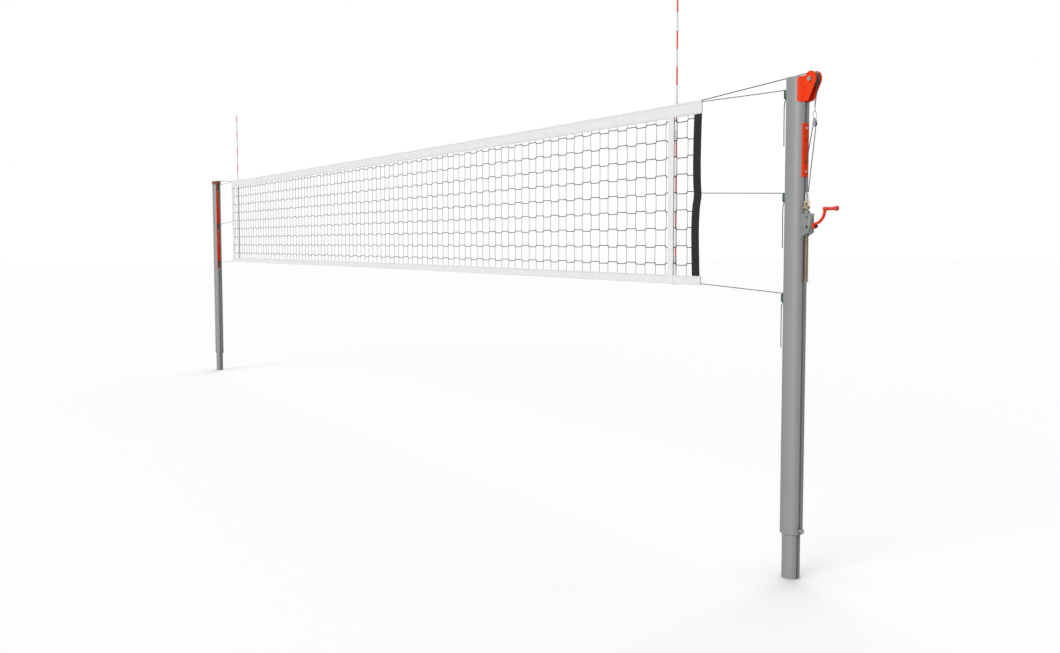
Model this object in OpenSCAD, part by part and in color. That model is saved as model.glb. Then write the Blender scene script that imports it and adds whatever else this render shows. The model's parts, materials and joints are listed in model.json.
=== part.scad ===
// Volleyball net on a pair of telescopic posts.
// The origin is on the floor at the axis of the near post. +Z is up, the net runs along -X to the
// far post, and the net lies in the plane y = 0. The near post carries the tensioner on its +X side.

/* [Court] */
// Distance between the axes of the two posts
post_gap = 11000; // [10400:50:11600]
// Distance of the cable, and so of the net's top edge, below the outer posts' upper ends
net_drop = 31; // [15:1:50]

/* [Outer posts] */
// Outer post's width along the net
outer_w = 120; // [112:1:130]
// Outer post's depth across the net
outer_d = 100; // [94:1:110]
// Outer post's wall
outer_wall = 4; // [3:0.5:4.5]
// Height of the outer post's lower end above the floor
outer_base = 225; // [215:5:260]
// Length of the outer post's profile
outer_len = 2236; // [2210:2:2238]

/* [Inner posts] */
// Inner post's width along the net
inner_w = 96; // [90:1:97]
// Inner post's depth across the net
inner_d = 80; // [76:1:84]
// Inner post's wall
inner_wall = 4; // [3:0.5:5]
// Length of the inner post that stands in its floor socket
socket_depth = 350; // [250:10:450]
// Height of the inner post's upper end above the floor
inner_top = 950; // [700:10:1100]

/* [Slots in the posts] */
// Width of the slot's mouth
slot_mouth = 12; // [10:0.5:14]
// Width of the slot behind its lips
slot_w = 18; // [16:0.5:20]
// Depth of the outer post's slot
slot_depth = 7; // [6.5:0.25:7.5]
// Thickness of the slot's lips
slot_lip = 2.5; // [2:0.1:2.8]
// Wall behind the outer post's slot
slot_floor = 2.5; // [2:0.1:2.8]
// Depth of the inner post's groove
groove_depth = 8; // [6:0.5:10]

/* [Net] */
// Length of the net
net_len = 9500; // [9000:50:9600]
// Height of the net from its cable to its lower edge
net_h = 1000; // [950:10:1050]
// Height of the top tape
top_tape_h = 70; // [60:1:80]
// Height of the bottom tape
bottom_tape_h = 50; // [45:1:60]
// Thickness of one layer of tape
tape_t = 1.5; // [1:0.1:2]
// Thickness of the net's strings
string_t = 3; // [2:0.25:4]
// Columns of gaps in the net
net_cols = 47; // [40:1:47]
// Rows of gaps in the net
net_rows = 6; // [4:1:6]
// Width of the straps at the two ends
strap_w = 65; // [55:1:80]
// Depth of the strap's waves between its ties
strap_wave = 28; // [15:1:30]
// Width of the tapes that mark the side lines
side_band_w = 50; // [45:1:60]
// Distance between the side-line tapes' outer edges
court_w = 9000; // [8800:10:9000]

/* [Antennas] */
// Diameter of an antenna
antenna_d = 10; // [8:0.5:12]
// Length of an antenna
antenna_len = 1800; // [1700:10:1900]

/* [Cable and cords] */
// Diameter of the net's steel cable
cable_d = 5; // [4:0.25:5.5]
// Diameter of the tackle's rope
rope_d = 4.5; // [4:0.25:5]
// Diameter of the green cords
cord_d = 4.4; // [4:0.1:5]

/* [Head pulley] */
// Distance of the pulley's axle from the post's axis
pulley_x = 106; // [104:1:110]
// Distance of the pulley's axle below the outer post's upper end
pulley_drop = 15; // [11:1:21]
// Outer radius of the pulley
pulley_r = 36; // [34:0.5:37]
// Width of the pulley
pulley_w = 14; // [12:1:16]
// Radius of the head's axle bolt
axle_r = 6; // [5:0.5:7]
// Distance between the outer faces of the head's cheeks
head_w = 40; // [36:1:44]
// Thickness of the head's cheeks
cheek_t = 5; // [4:0.5:6]

/* [Tackle] */
// Distance of the tackle block's sheave from the post's axis
block_x = 120.5; // [118:0.5:124]
// Distance of the tackle block's sheave below the outer post's upper end
block_drop = 229; // [221:1:236]
// Outer radius of the tackle's sheave
sheave_r = 12; // [11.8:0.1:13]
// Width of the tackle's sheave
sheave_w = 8; // [7:0.5:9]
// Radius of the tackle's sheave pin
sheave_pin_r = 3; // [2:0.5:3.5]
// Thickness of the tackle block's cheeks
block_t = 2; // [1.5:0.25:2.5]

/* [Spindle drive] */
// Distance of the spindle's axis from the post's axis
spindle_x = 77; // [77:0.5:79]
// Radius of the spindle
spindle_r = 10; // [9:0.5:10]
// Length of the spindle
spindle_len = 363; // [340:1:380]
// Distance of the spindle's upper end below the outer post's upper end
spindle_drop = 616; // [611:1:621]
// Distance of the crank's axis below the spindle's upper end
crank_drop = 100; // [97:1:103]
// Radius of the crank from its axis to its grip's axis
crank_r = 82; // [75:1:90]
// Radius of the crank's shaft
shaft_r = 5; // [4.5:0.25:5.5]
// Teeth of the bevel wheel on the spindle's nut
wheel_teeth = 24; // [24:1:24]
// Teeth of the bevel pinion on the crank's shaft
pinion_teeth = 12; // [12:1:12]
// Length of the crank's grip
grip_len = 77; // [70:1:90]
// Radius of the grip's pin
grip_pin_r = 4; // [3:0.5:5]

/* [Rails and cleats] */
// Width of the rails across the post
rail_w = 40; // [34:1:44]
// Thickness of the rails
rail_t = 3; // [2.5:0.25:4]
// Distance of the hook rail's upper end below the outer post's upper end
hook_rail_drop = 219; // [214:1:226]
// Length of the hook rail
hook_rail_len = 259; // [255:1:262]
// Distance between the holes of the hook rail
rail_pitch = 55; // [50:1:56]
// Distance of the net rails' upper ends below the outer posts' upper ends
net_rail_drop = 36; // [30:1:60]
// Length of the net rails
net_rail_len = 1090; // [1085:5:1100]
// Length of a cleat's base
cleat_h = 78; // [70:1:84]
// Width of a cleat's head
cleat_w = 17; // [15:1:20]
// Distance that a cleat stands out of its rail
cleat_out = 28; // [26:1:32]
// Height of a cleat's head
cleat_head_h = 40; // [36:1:46]
// Height of a cleat's neck
cleat_neck_h = 24; // [20:1:26]

/* [Clearances] */
// Gap between parts that slide past each other
slide_gap = 0.3; // [0.3:0.05:0.6]
// Radial gap of a shaft in its bore
run_gap = 0.08; // [0.05:0.01:0.1]

/* [Hidden] */
$fn = 48;

// Colours
aluminium = [0.6, 0.61, 0.61];
steel = [0.7, 0.7, 0.7];
zinc = [0.53, 0.49, 0.43];
cast_grey = [0.57, 0.59, 0.59];
orange = [0.95, 0.27, 0.12];
rail_red = [0.8, 0.2, 0.07];
dark = [0.2, 0.19, 0.19];
cord_green = [0.42, 0.54, 0.46];
tape_white = [0.93, 0.93, 0.93];
strap_black = [0.15, 0.15, 0.15];
string_grey = [0.45, 0.45, 0.45];
antenna_red = [0.8, 0.25, 0.2];

// Heights of the posts
outer_top = outer_base + outer_len;
cap_t = 4;
post_top = outer_top + cap_t;

// Heights of what the outer posts carry
net_top = outer_top - net_drop;
pulley_z = outer_top - pulley_drop;
block_z = outer_top - block_drop;
spindle_top = outer_top - spindle_drop;
crank_z = spindle_top - crank_drop;
hook_rail_z = outer_top - hook_rail_drop - hook_rail_len;
net_rail_z = outer_top - net_rail_drop - net_rail_len;

// Heights of the three cleats, and of their cords where they leave the net
cleat_z = [net_top - 39, net_top - 542, net_top - net_h - 37];
tie_z = [net_top - 8, net_top - 494, net_top - net_h + 9];

// The net's ends, measured from the near post's axis
net_x1 = -(post_gap - net_len) / 2;
net_x0 = net_x1 - net_len;
mid_x = -post_gap / 2;

// ---------- shared shapes ----------

// Points of an oval with round ends: a quarter is an end arc and a flatter side arc that meet smoothly
end_roundness = 0.95;
function oval_points(w, d, n = 12) = let(
        a = w / 2, b = d / 2, r = b * end_roundness, e = a - r,
        side_r = (e * e + b * b - r * r) / (2 * (b - r)), c = side_r - b,
        turn = atan2(c, e),
        end = [for (i = [0:n]) let(t = turn * i / n) [e + r * cos(t), r * sin(t)]],
        side = [for (i = [1:n]) let(t = turn + (90 - turn) * i / n) [side_r * cos(t), side_r * sin(t) - c]],
        quarter = concat(end, side), q = len(quarter))
    concat(quarter,
        [for (i = [q - 2:-1:0]) [-quarter[i][0], quarter[i][1]]],
        [for (i = [1:q - 1]) [-quarter[i][0], -quarter[i][1]]],
        [for (i = [q - 2:-1:1]) [quarter[i][0], -quarter[i][1]]]);

module oval(w, d) {
    polygon(oval_points(w, d));
}

// A closed tube swept along 3-D points. The flat vector stays out of line with the route everywhere.
function unit(v) = v / norm(v);
function heading(p, i) = unit(p[min(i + 1, len(p) - 1)] - p[max(i - 1, 0)]);
function ring(p, i, r, sides, flat) = let(t = heading(p, i), u = unit(cross(flat, t)), v = cross(t, u))
    [for (k = [0:sides - 1]) let(a = 360 * (k + 0.5) / sides) p[i] + r * (cos(a) * u + sin(a) * v)];

module tube(p, d, flat = [0, 1, 0], sides = 8) {
    n = len(p);
    rings = [for (i = [0:n - 1]) each ring(p, i, d / 2, sides, flat)];
    first = [for (k = [1:sides - 2]) [0, k, k + 1]];
    last = [for (k = [1:sides - 2]) [(n - 1) * sides, (n - 1) * sides + k + 1, (n - 1) * sides + k]];
    wall = [for (i = [0:n - 2], k = [0:sides - 1]) let(
            a = i * sides + k, b = i * sides + (k + 1) % sides, c = a + sides, e = b + sides)
        each [[a, c, b], [b, c, e]]];
    polyhedron(points = rings, faces = concat(first, wall, last));
}

// A tube through points [x, z] in the plane y = 0
module flat_tube(p, d) {
    tube([for (q = p) [q[0], 0, q[1]]], d);
}

// The point where a line from p touches the circle of radius r round c; side is +1 or -1
function touch_angle(c, r, p, side) = atan2(p[1] - c[1], p[0] - c[0]) + side * acos(r / norm(p - c));
function on_circle(c, r, a) = c + r * [cos(a), sin(a)];
function arc_points(c, r, a0, a1, n) = [for (i = [0:n]) on_circle(c, r, a0 + (a1 - a0) * i / n)];

// A straight bar along X, Y or Z
module bar_x(r, x0, x1) {
    translate([x0, 0, 0]) rotate([0, 90, 0]) cylinder(r = r, h = x1 - x0);
}

module bar_y(r, y0, y1) {
    translate([0, y0, 0]) rotate([-90, 0, 0]) cylinder(r = r, h = y1 - y0);
}

// A plate in the plane y = 0 from an outline given in x and z
module plate_xz(t) {
    rotate([90, 0, 0]) translate([0, 0, -t / 2]) linear_extrude(t) children();
}

// Places children on the far post, turned to face the net, or mirrored about the middle of the net
module at_far() {
    translate([-post_gap, 0, 0]) rotate([0, 0, 180]) children();
}

module mirrored() {
    translate([-post_gap, 0, 0]) mirror([1, 0, 0]) children();
}

// A plate of thickness t bent over the post's face on its +X side, half_w to each side
module face_plate(t, half_w, z0, h) {
    translate([0, 0, z0]) linear_extrude(h) intersection() {
        difference() {
            oval(outer_w + 2 * t, outer_d + 2 * t);
            oval(outer_w, outer_d);
        }
        translate([0, -half_w]) square([outer_w, 2 * half_w]);
    }
}

// ---------- posts ----------

// Solid wall round the outer post's slots, as seen from inside the post
module slot_wall(extra = 0) {
    wall_x = outer_w / 2 - slot_depth - slot_floor - extra;
    half = slot_w / 2 + slot_floor + extra;
    for (s = [-1, 1]) translate([s > 0 ? wall_x : -outer_w / 2, -half]) square([outer_w / 2 - wall_x, 2 * half]);
}

module outer_section() {
    difference() {
        union() {
            difference() {
                oval(outer_w, outer_d);
                oval(outer_w - 2 * outer_wall, outer_d - 2 * outer_wall);
            }
            intersection() {
                oval(outer_w, outer_d);
                slot_wall();
            }
        }
        for (s = [0, 180]) rotate(s) {
            translate([outer_w / 2 - slot_depth, -slot_w / 2]) square([slot_depth - slot_lip, slot_w]);
            translate([outer_w / 2 - slot_depth, -slot_mouth / 2]) square([slot_depth + 1, slot_mouth]);
        }
    }
}

module inner_section() {
    groove_x = inner_w / 2 - groove_depth;
    difference() {
        union() {
            difference() {
                oval(inner_w, inner_d);
                oval(inner_w - 2 * inner_wall, inner_d - 2 * inner_wall);
            }
            intersection() {
                oval(inner_w, inner_d);
                for (s = [0, 180]) rotate(s) {
                    translate([groove_x - inner_wall, -slot_mouth / 2 - inner_wall])
                        square([groove_depth + inner_wall, slot_mouth + 2 * inner_wall]);
                }
            }
        }
        for (s = [0, 180]) rotate(s) {
            translate([groove_x, -slot_mouth / 2]) square([groove_depth + 1, slot_mouth]);
        }
    }
}

module inner_profile() {
    color(aluminium) translate([0, 0, -socket_depth]) linear_extrude(socket_depth + inner_top) inner_section();
}

// The lock knob's screw and the holes that it passes through
lock_z = outer_base + 22;
lock_r = 4;

module outer_profile() {
    color(aluminium) difference() {
        translate([0, 0, outer_base]) linear_extrude(outer_len) outer_section();
        translate([0, 0, lock_z]) bar_x(lock_r + run_gap, outer_w / 2 - slot_depth - slot_floor - 1, outer_w);
    }
}

module near_inner_post() { inner_profile(); }
module far_inner_post() { at_far() inner_profile(); }
module near_outer_post() { outer_profile(); }
module far_outer_post() { at_far() outer_profile(); }

// Plug that closes the inner post's lower end
plug_t = 4;
plug_in = 20;

module foot_plug() {
    z0 = -socket_depth;
    color(dark) {
        translate([0, 0, z0 - plug_t]) linear_extrude(plug_t) oval(inner_w, inner_d);
        translate([0, 0, z0]) linear_extrude(plug_in) difference() {
            oval(inner_w - 2 * inner_wall - 1, inner_d - 2 * inner_wall - 1);
            square([2 * (inner_w / 2 - groove_depth - inner_wall) - 1, inner_d - 6 * inner_wall], center = true);
            for (s = [0, 180]) rotate(s) {
                translate([inner_w / 2 - groove_depth - inner_wall - 0.5, -slot_mouth / 2 - inner_wall - 0.5])
                    square([inner_w, slot_mouth + 2 * inner_wall + 1]);
            }
        }
    }
}

module foot_plugs() {
    foot_plug();
    at_far() foot_plug();
}

// Collar at the inner post's upper end that slides in the outer post
collar_h = 40;

module glide_collar() {
    color(dark) translate([0, 0, inner_top - collar_h]) linear_extrude(collar_h) difference() {
        oval(outer_w - 2 * outer_wall - 2 * slide_gap, outer_d - 2 * outer_wall - 2 * slide_gap);
        oval(inner_w, inner_d);
        slot_wall(slide_gap);
    }
}

module glide_collars() {
    glide_collar();
    at_far() glide_collar();
}

// Bush in the outer post's lower end that slides on the inner post
bush_h = 60;

module lower_bush() {
    color(dark) difference() {
        translate([0, 0, outer_base]) linear_extrude(bush_h) difference() {
            oval(outer_w - 2 * outer_wall, outer_d - 2 * outer_wall);
            oval(inner_w + 2 * slide_gap, inner_d + 2 * slide_gap);
            slot_wall();
        }
        translate([0, 0, lock_z]) bar_x(lock_r + run_gap, inner_w / 2 - 1, outer_w);
    }
}

module near_lower_bush() { lower_bush(); }
module far_lower_bush() { at_far() lower_bush(); }

// Knob with its clamp screw, whose tip presses on the floor of the inner post's groove
knob_r = 12.5;
knob_t = 14;
knob_neck = 7;

module lock_knob() {
    x0 = inner_w / 2 - groove_depth + slide_gap;
    x1 = outer_w / 2 + slide_gap;
    color(steel) translate([0, 0, lock_z]) {
        bar_x(lock_r, x0, x1 + knob_neck + 1);
        bar_x(lock_r + 3.5, x1, x1 + knob_neck);
        difference() {
            bar_x(knob_r, x1 + knob_neck, x1 + knob_neck + knob_t);
            for (k = [0:7]) rotate([45 * k, 0, 0]) translate([0, 0, knob_r + 1.5])
                bar_x(3.2, x1 + knob_neck - 1, x1 + knob_neck + knob_t + 1);
        }
    }
}

module near_lock_knob() { lock_knob(); }
module far_lock_knob() { at_far() lock_knob(); }

module near_top_cap() {
    color(aluminium) translate([0, 0, outer_top]) linear_extrude(cap_t) oval(outer_w, outer_d);
}

// ---------- pulley head on the near post ----------

head_plate_t = 4;
head_z0 = outer_top - 119;
head_z1 = outer_top + 2;
lobe_r = pulley_r + 2;
head_wrap = 40;
head_corner = 10;
cable_groove_r = pulley_r - cable_d / 2;

module cheek_outline() {
    post_x = outer_w / 2 - 8;
    translate([pulley_x, pulley_z]) circle(lobe_r);
    polygon([[post_x, head_z0], [pulley_x - 13, head_z0 + 4], [pulley_x + 35, pulley_z - 14.5],
        [pulley_x, pulley_z + 10], [pulley_x - 28, head_z1 + 3], [post_x, head_z1 + 3]]);
}

// Rounds the corners of the plate that wraps the post
module head_plate_outline() {
    rotate([90, 0, 90]) linear_extrude(outer_w) {
        for (s = [-1, 1], z = [head_z0 + head_corner, head_z1 - head_corner])
            translate([s * (head_wrap - head_corner), z]) circle(head_corner);
        translate([-head_wrap, head_z0 + head_corner]) square([2 * head_wrap, head_z1 - head_z0 - 2 * head_corner]);
        translate([head_corner - head_wrap, head_z0]) square([2 * (head_wrap - head_corner), head_z1 - head_z0]);
    }
}

module pulley_head() {
    color(orange) difference() {
        union() {
            intersection() {
                face_plate(head_plate_t, head_wrap, head_z0, head_z1 - head_z0);
                head_plate_outline();
            }
            for (s = [-1, 1]) difference() {
                translate([0, s * (head_w - cheek_t) / 2, 0]) plate_xz(cheek_t) cheek_outline();
                translate([0, 0, head_z0 - 1]) linear_extrude(head_z1 - head_z0 + 80) oval(outer_w, outer_d);
            }
        }
        translate([pulley_x, 0, pulley_z]) bar_y(axle_r, -head_w, head_w);
        for (z = head_screw_z) translate([0, 0, z]) bar_x(screw_r, outer_w / 2 - 2, outer_w);
    }
}

bearing_r = 13;

module head_pulley() {
    half = pulley_w / 2;
    rim = cable_d / 2 + 0.4;
    color(dark) translate([pulley_x, 0, pulley_z]) rotate([90, 0, 0]) rotate_extrude() difference() {
        polygon([[bearing_r, -half], [pulley_r, -half], [pulley_r, half], [bearing_r, half]]);
        translate([cable_groove_r, 0]) circle(rim);
        translate([cable_groove_r, -rim]) square([pulley_r, 2 * rim]);
        for (s = [-1, 1]) translate([bearing_r + 7, s * half]) circle(3.5);
    }
}

module pulley_bearing() {
    color(steel) translate([pulley_x, 0, pulley_z]) difference() {
        bar_y(bearing_r, -pulley_w / 2, pulley_w / 2);
        bar_y(axle_r + run_gap, -pulley_w, pulley_w);
    }
}

axle_head_r = 11;
axle_head_t = 10;

module pulley_axle() {
    color(steel) translate([pulley_x, 0, pulley_z]) {
        bar_y(axle_r, -head_w / 2, head_w / 2 + 8);
        difference() {
            bar_y(axle_head_r, -head_w / 2 - axle_head_t, -head_w / 2);
            translate([0, -head_w / 2 - axle_head_t - 1, 0]) rotate([-90, 0, 0]) cylinder(r = 5.5, h = 6, $fn = 6);
        }
    }
}

module axle_nut() {
    color(steel) translate([pulley_x, head_w / 2, pulley_z]) rotate([-90, 0, 0]) difference() {
        cylinder(r = 11, h = 7, $fn = 6);
        translate([0, 0, -1]) cylinder(r = axle_r, h = 9);
    }
}

// ---------- rails, screws and cleats ----------

screw_r = 3;
screw_head_r = 5.5;
screw_head_t = 3;
head_screw_z = [head_z0 + 18, head_z0 + 44];
hook_screw_z = [hook_rail_z + 27, hook_rail_z + hook_rail_len - 25];
anchor_z = hook_rail_z + 66;
gearbox_screw_z = [crank_z - 57, crank_z + 75];
net_screw_z = [for (z = cleat_z) each [z - cleat_h / 2 - 14, z + cleat_h / 2 - 110]];

module hook_rail() {
    color(rail_red) difference() {
        face_plate(rail_t, rail_w / 2, hook_rail_z, hook_rail_len);
        for (z = hook_screw_z) translate([0, 0, z]) bar_x(screw_r, outer_w / 2 - 2, outer_w);
        for (k = [0:2]) translate([0, 0, anchor_z + k * rail_pitch]) bar_x(4, outer_w / 2 - 2, outer_w);
    }
}

module net_rail() {
    color(rail_red) difference() {
        face_plate(rail_t, rail_w / 2, net_rail_z, net_rail_len);
        for (z = net_screw_z) translate([0, 0, z]) bar_x(screw_r, outer_w / 2 - 2, outer_w);
    }
}

// The near post's net rail is on its -X side
module near_net_rail() { rotate([0, 0, 180]) net_rail(); }
module far_net_rail() { at_far() rotate([0, 0, 180]) net_rail(); }

module slot_screw(z, t) {
    translate([0, 0, z]) {
        bar_x(screw_r, outer_w / 2 - slot_depth + 0.5, outer_w / 2 + t);
        bar_x(screw_head_r, outer_w / 2 + t, outer_w / 2 + t + screw_head_t);
    }
}

module slot_nut(z) {
    nut_t = slot_depth - slot_lip - 0.6;
    translate([outer_w / 2 - slot_lip - nut_t, 0, z]) difference() {
        translate([0, -slot_w / 2 + 1, -8]) cube([nut_t, slot_w - 2, 16]);
        bar_x(screw_r + run_gap, -1, nut_t + 1);
    }
}

module near_fittings() {
    color(steel) {
        for (z = head_screw_z) slot_screw(z, head_plate_t);
        for (z = hook_screw_z) slot_screw(z, rail_t);
        for (z = gearbox_screw_z) slot_screw(z, gear_plate_t - screw_head_t);
        for (z = concat(head_screw_z, hook_screw_z, gearbox_screw_z)) slot_nut(z);
        rotate([0, 0, 180]) for (z = net_screw_z) slot_screw(z, rail_t);
        rotate([0, 0, 180]) for (z = net_screw_z) slot_nut(z);
    }
}

// A cleat has a base on the rail, a neck for the cord's turns and a head with two horns
cleat_base_t = 6;
cleat_base_w = 28;
cleat_head_t = 8;
cleat_face = outer_w / 2 + rail_t;
horn_x = cleat_face + cleat_out - cleat_head_t / 2;
horn_up = cleat_head_h / 2 - cleat_head_t / 2;

module cleat(z) {
    translate([cleat_face, 0, z]) {
        rotate([90, 0, 90]) linear_extrude(cleat_base_t) {
            square([cleat_base_w, cleat_h - cleat_base_w], center = true);
            for (s = [-1, 1]) translate([0, s * (cleat_h - cleat_base_w) / 2]) circle(cleat_base_w / 2);
        }
        plate_xz(cleat_w) {
            translate([0, -cleat_neck_h / 2]) square([cleat_out - 2, cleat_neck_h]);
            translate([cleat_out - cleat_head_t, -horn_up]) square([cleat_head_t, 2 * horn_up]);
            for (s = [-1, 1]) translate([cleat_out - cleat_head_t / 2, s * horn_up]) circle(cleat_head_t / 2);
        }
    }
}

module cleats() {
    color(dark) rotate([0, 0, 180]) for (z = cleat_z) cleat(z);
}

module near_cleats() { cleats(); }
module far_cleats() { at_far() cleats(); }

// ---------- cable, tackle and rope ----------

pulley_c = [pulley_x, pulley_z];
block_c = [block_x, block_z];
thimble_top = [block_x - 1.5, block_z + 63];
ferrule_len = 16;
ferrule_r = 4.2;
cable_on = 360 + touch_angle(pulley_c, cable_groove_r, [net_x1, net_top], -1);
cable_off = touch_angle(pulley_c, cable_groove_r, thimble_top + [0, ferrule_len], 1);

// The cable's far end runs over the far post's cap and down to its hook
cap_over = 11;
cap_side = 4;
cap_round = 14;
hook_z = post_top - 37;
hook_r = 4;
saddle_r = cap_round + cable_d / 2 + slide_gap;
saddle_c = [-post_gap - outer_w / 2 - cap_side + cap_round, outer_top + cap_over - cap_round];
loop_r = 12;
loop_z = hook_z - hook_r - slide_gap - cable_d / 2 + loop_r;
loop_x = saddle_c[0] - saddle_r;
loop_top = loop_z + loop_r;

module net_cable() {
    route = concat(
        [[loop_x, saddle_c[1] - 1]],
        arc_points(saddle_c, saddle_r, 180, 90, 5),
        [[-post_gap + outer_w / 2 - 10, saddle_c[1] + saddle_r], [net_x0 - 2, net_top]],
        [for (k = [1:3]) [net_x0 + net_len * k / 4, net_top]],
        [[net_x1 + 2, net_top]],
        arc_points(pulley_c, cable_groove_r, cable_on, cable_off, 10));
    color(steel) flat_tube(route, cable_d);
}

// The cable's far end: a loop over the hook, closed by a ferrule
module cable_end() {
    color(steel) {
        translate([loop_x, 0, loop_z]) rotate([0, 90, 0]) rotate_extrude() translate([loop_r, 0]) circle(cable_d / 2);
        translate([loop_x, 0, loop_top - 1]) cylinder(r = ferrule_r, h = saddle_c[1] - loop_top);
    }
}

module cable_drop() {
    start = on_circle(pulley_c, cable_groove_r, cable_off);
    end = thimble_top + [0, ferrule_len + 2 * slide_gap];
    color(steel) flat_tube([start + slide_gap * unit(end - start), end], cable_d);
}

link_wire = 2.2;
link_h = 44;
link_w = 24;
eye_z = thimble_top[1] - link_h + link_wire;

module cable_thimble() {
    straight = link_h - link_w;
    color(steel) {
        translate([thimble_top[0], 0, thimble_top[1] - 2]) cylinder(r = ferrule_r, h = ferrule_len + 2);
        translate([thimble_top[0], 0, eye_z - link_wire + link_w / 2]) {
            for (s = [0, 1]) translate([0, 0, s * straight]) rotate([s * 180, 0, 0]) rotate([90, 0, 90])
                rotate([0, 0, 180]) rotate_extrude(angle = 180) translate([link_w / 2 - link_wire, 0]) circle(link_wire);
            for (s = [-1, 1]) translate([0, s * (link_w / 2 - link_wire), 0]) cylinder(r = link_wire, h = straight);
        }
    }
}

rope_r = sheave_r - rope_d / 2 - 0.25;
anchor_p = [outer_w / 2 + rail_t + 5, anchor_z + 8];
rope_foot = [spindle_x + 7, spindle_top + 65];
turn_a = 360 + touch_angle(block_c, rope_r, anchor_p, -1);
turn_b = touch_angle(block_c, rope_r, rope_foot, 1);
cheek_gap = sheave_w / 2 + 0.5;
bridge_z = block_z + sheave_r + 2;

module tackle_block() {
    half = cheek_gap + block_t;
    color(steel) difference() {
        union() {
            for (s = [-1, 1]) translate([block_x, s * (cheek_gap + block_t / 2), block_z]) plate_xz(block_t) {
                circle(sheave_r - 1);
                translate([-8, 0]) square([16, bridge_z + 4 - block_z]);
            }
            translate([block_x - 8, -half, bridge_z]) cube([16, 2 * half, 4]);
            translate([block_x, 0, eye_z]) plate_xz(6) {
                circle(7);
                translate([-7, bridge_z - eye_z]) square([14, eye_z - bridge_z]);
            }
        }
        translate([block_x, 0, block_z]) bar_y(sheave_pin_r, -20, 20);
        translate([thimble_top[0], 0, eye_z]) bar_y(link_wire + 0.8, -20, 20);
    }
}

module tackle_sheave() {
    half = sheave_w / 2;
    color(dark) translate([block_x, 0, block_z]) rotate([90, 0, 0]) rotate_extrude() difference() {
        translate([sheave_pin_r + run_gap, -half]) square([sheave_r - sheave_pin_r - run_gap, sheave_w]);
        translate([rope_r, 0]) circle(rope_d / 2 + 0.35);
        translate([rope_r, -rope_d / 2 - 0.35]) square([sheave_r, rope_d + 0.7]);
    }
}

module sheave_pin() {
    half = cheek_gap + block_t;
    color(steel) translate([block_x, 0, block_z]) {
        bar_y(sheave_pin_r, -half, half);
        for (s = [-1, 1]) bar_y(sheave_pin_r + 1.5, s > 0 ? half : -half - 1.5, s > 0 ? half + 1.5 : -half);
    }
}

module rope_turn() {
    color(steel) flat_tube(arc_points(block_c, rope_r, turn_a, turn_b, 12), rope_d);
}

module rope_fall_a() {
    x_face = outer_w / 2 + rail_t;
    start = on_circle(block_c, rope_r, turn_a);
    route = [start + 2 * slide_gap * unit(anchor_p - start), anchor_p, [x_face + 1.5, anchor_z + 2.5],
        [x_face - 2, anchor_z], [outer_w / 2 - slot_lip - 0.5, anchor_z]];
    color(steel) flat_tube(route, rope_d);
}

module rope_fall_b() {
    start = on_circle(block_c, rope_r, turn_b);
    end = rope_foot + [0, 2 * slide_gap];
    color(steel) flat_tube([start + slide_gap * unit(end - start), end], rope_d);
}

// Ferrule that stops the rope's end behind the hook rail
module rope_stop() {
    x1 = outer_w / 2 - slot_lip - 0.5;
    color(steel) translate([0, 0, anchor_z]) bar_x(5, x1 - 3.5, x1);
}

shackle_wire = 2.7;
shackle_pin_r = 3;
shackle_half = spindle_r + 0.8 + shackle_wire;
pin_z = spindle_top - 10;
bow_z = spindle_top + 13;
bow_top = bow_z + shackle_half;

// Rope thimble, a flat ring that holds the shackle's bow
module rope_thimble() {
    ring_h = rope_foot[1] - (bow_top - 2 * shackle_wire - 5);
    ring_w = 22;
    wall = 4;
    zc = rope_foot[1] - ring_h / 2;
    color(tape_white) translate([spindle_x, 0, zc]) difference() {
        plate_xz(7) {
            for (s = [-1, 1]) translate([0, s * (ring_h - ring_w) / 2]) circle(ring_w / 2);
            translate([-ring_w / 2, -(ring_h - ring_w) / 2]) square([ring_w, ring_h - ring_w]);
            translate([2, ring_h / 2 - 7]) square([9, 7]);
        }
        plate_xz(20) {
            for (s = [-1, 1]) translate([0, s * (ring_h - ring_w) / 2]) circle(ring_w / 2 - wall);
            translate([-ring_w / 2 + wall, -(ring_h - ring_w) / 2]) square([ring_w - 2 * wall, ring_h - ring_w]);
        }
    }
}

module shackle() {
    color(zinc) translate([spindle_x, 0, 0]) difference() {
        union() {
            translate([0, 0, bow_z]) rotate([90, 0, 90]) rotate_extrude(angle = 180)
                translate([shackle_half, 0]) circle(shackle_wire);
            for (s = [-1, 1]) {
                translate([0, s * shackle_half, pin_z]) cylinder(r = shackle_wire, h = bow_z - pin_z);
                translate([0, 0, pin_z]) bar_y(6, s * shackle_half - shackle_wire, s * shackle_half + shackle_wire);
            }
        }
        translate([0, 0, pin_z]) bar_y(shackle_pin_r, -40, 40);
    }
}

module shackle_pin() {
    y1 = shackle_half + shackle_wire;
    color(zinc) translate([spindle_x, 0, pin_z]) {
        bar_y(shackle_pin_r, -y1 - 2, y1);
        bar_y(5, -y1 - 4, -y1);
    }
}

// ---------- spindle drive ----------

gear_plate_t = 4;
gear_plate_w = 44;
gear_plate_z0 = crank_z - 63;
gear_plate_z1 = crank_z + 81;

// Bevel gears: both pitch cones share the apex where the spindle's axis meets the crank's axis
cone_wheel = atan2(wheel_teeth, pinion_teeth);
cone_pinion = 90 - cone_wheel;
cone_in = 12.3;
cone_out = 15.2;
tooth_up = 0.7;
tooth_down = 0.9;
tooth_sunk = 0.4;
tooth_base = 1.4;
tooth_tip = 0.7;

// Distance from the gear's axis, and place along it, of a point at distance s down the pitch cone
function cone_point(cone, s, up) = [s * sin(cone) + up * cos(cone), s * cos(cone) - up * sin(cone)];

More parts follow.
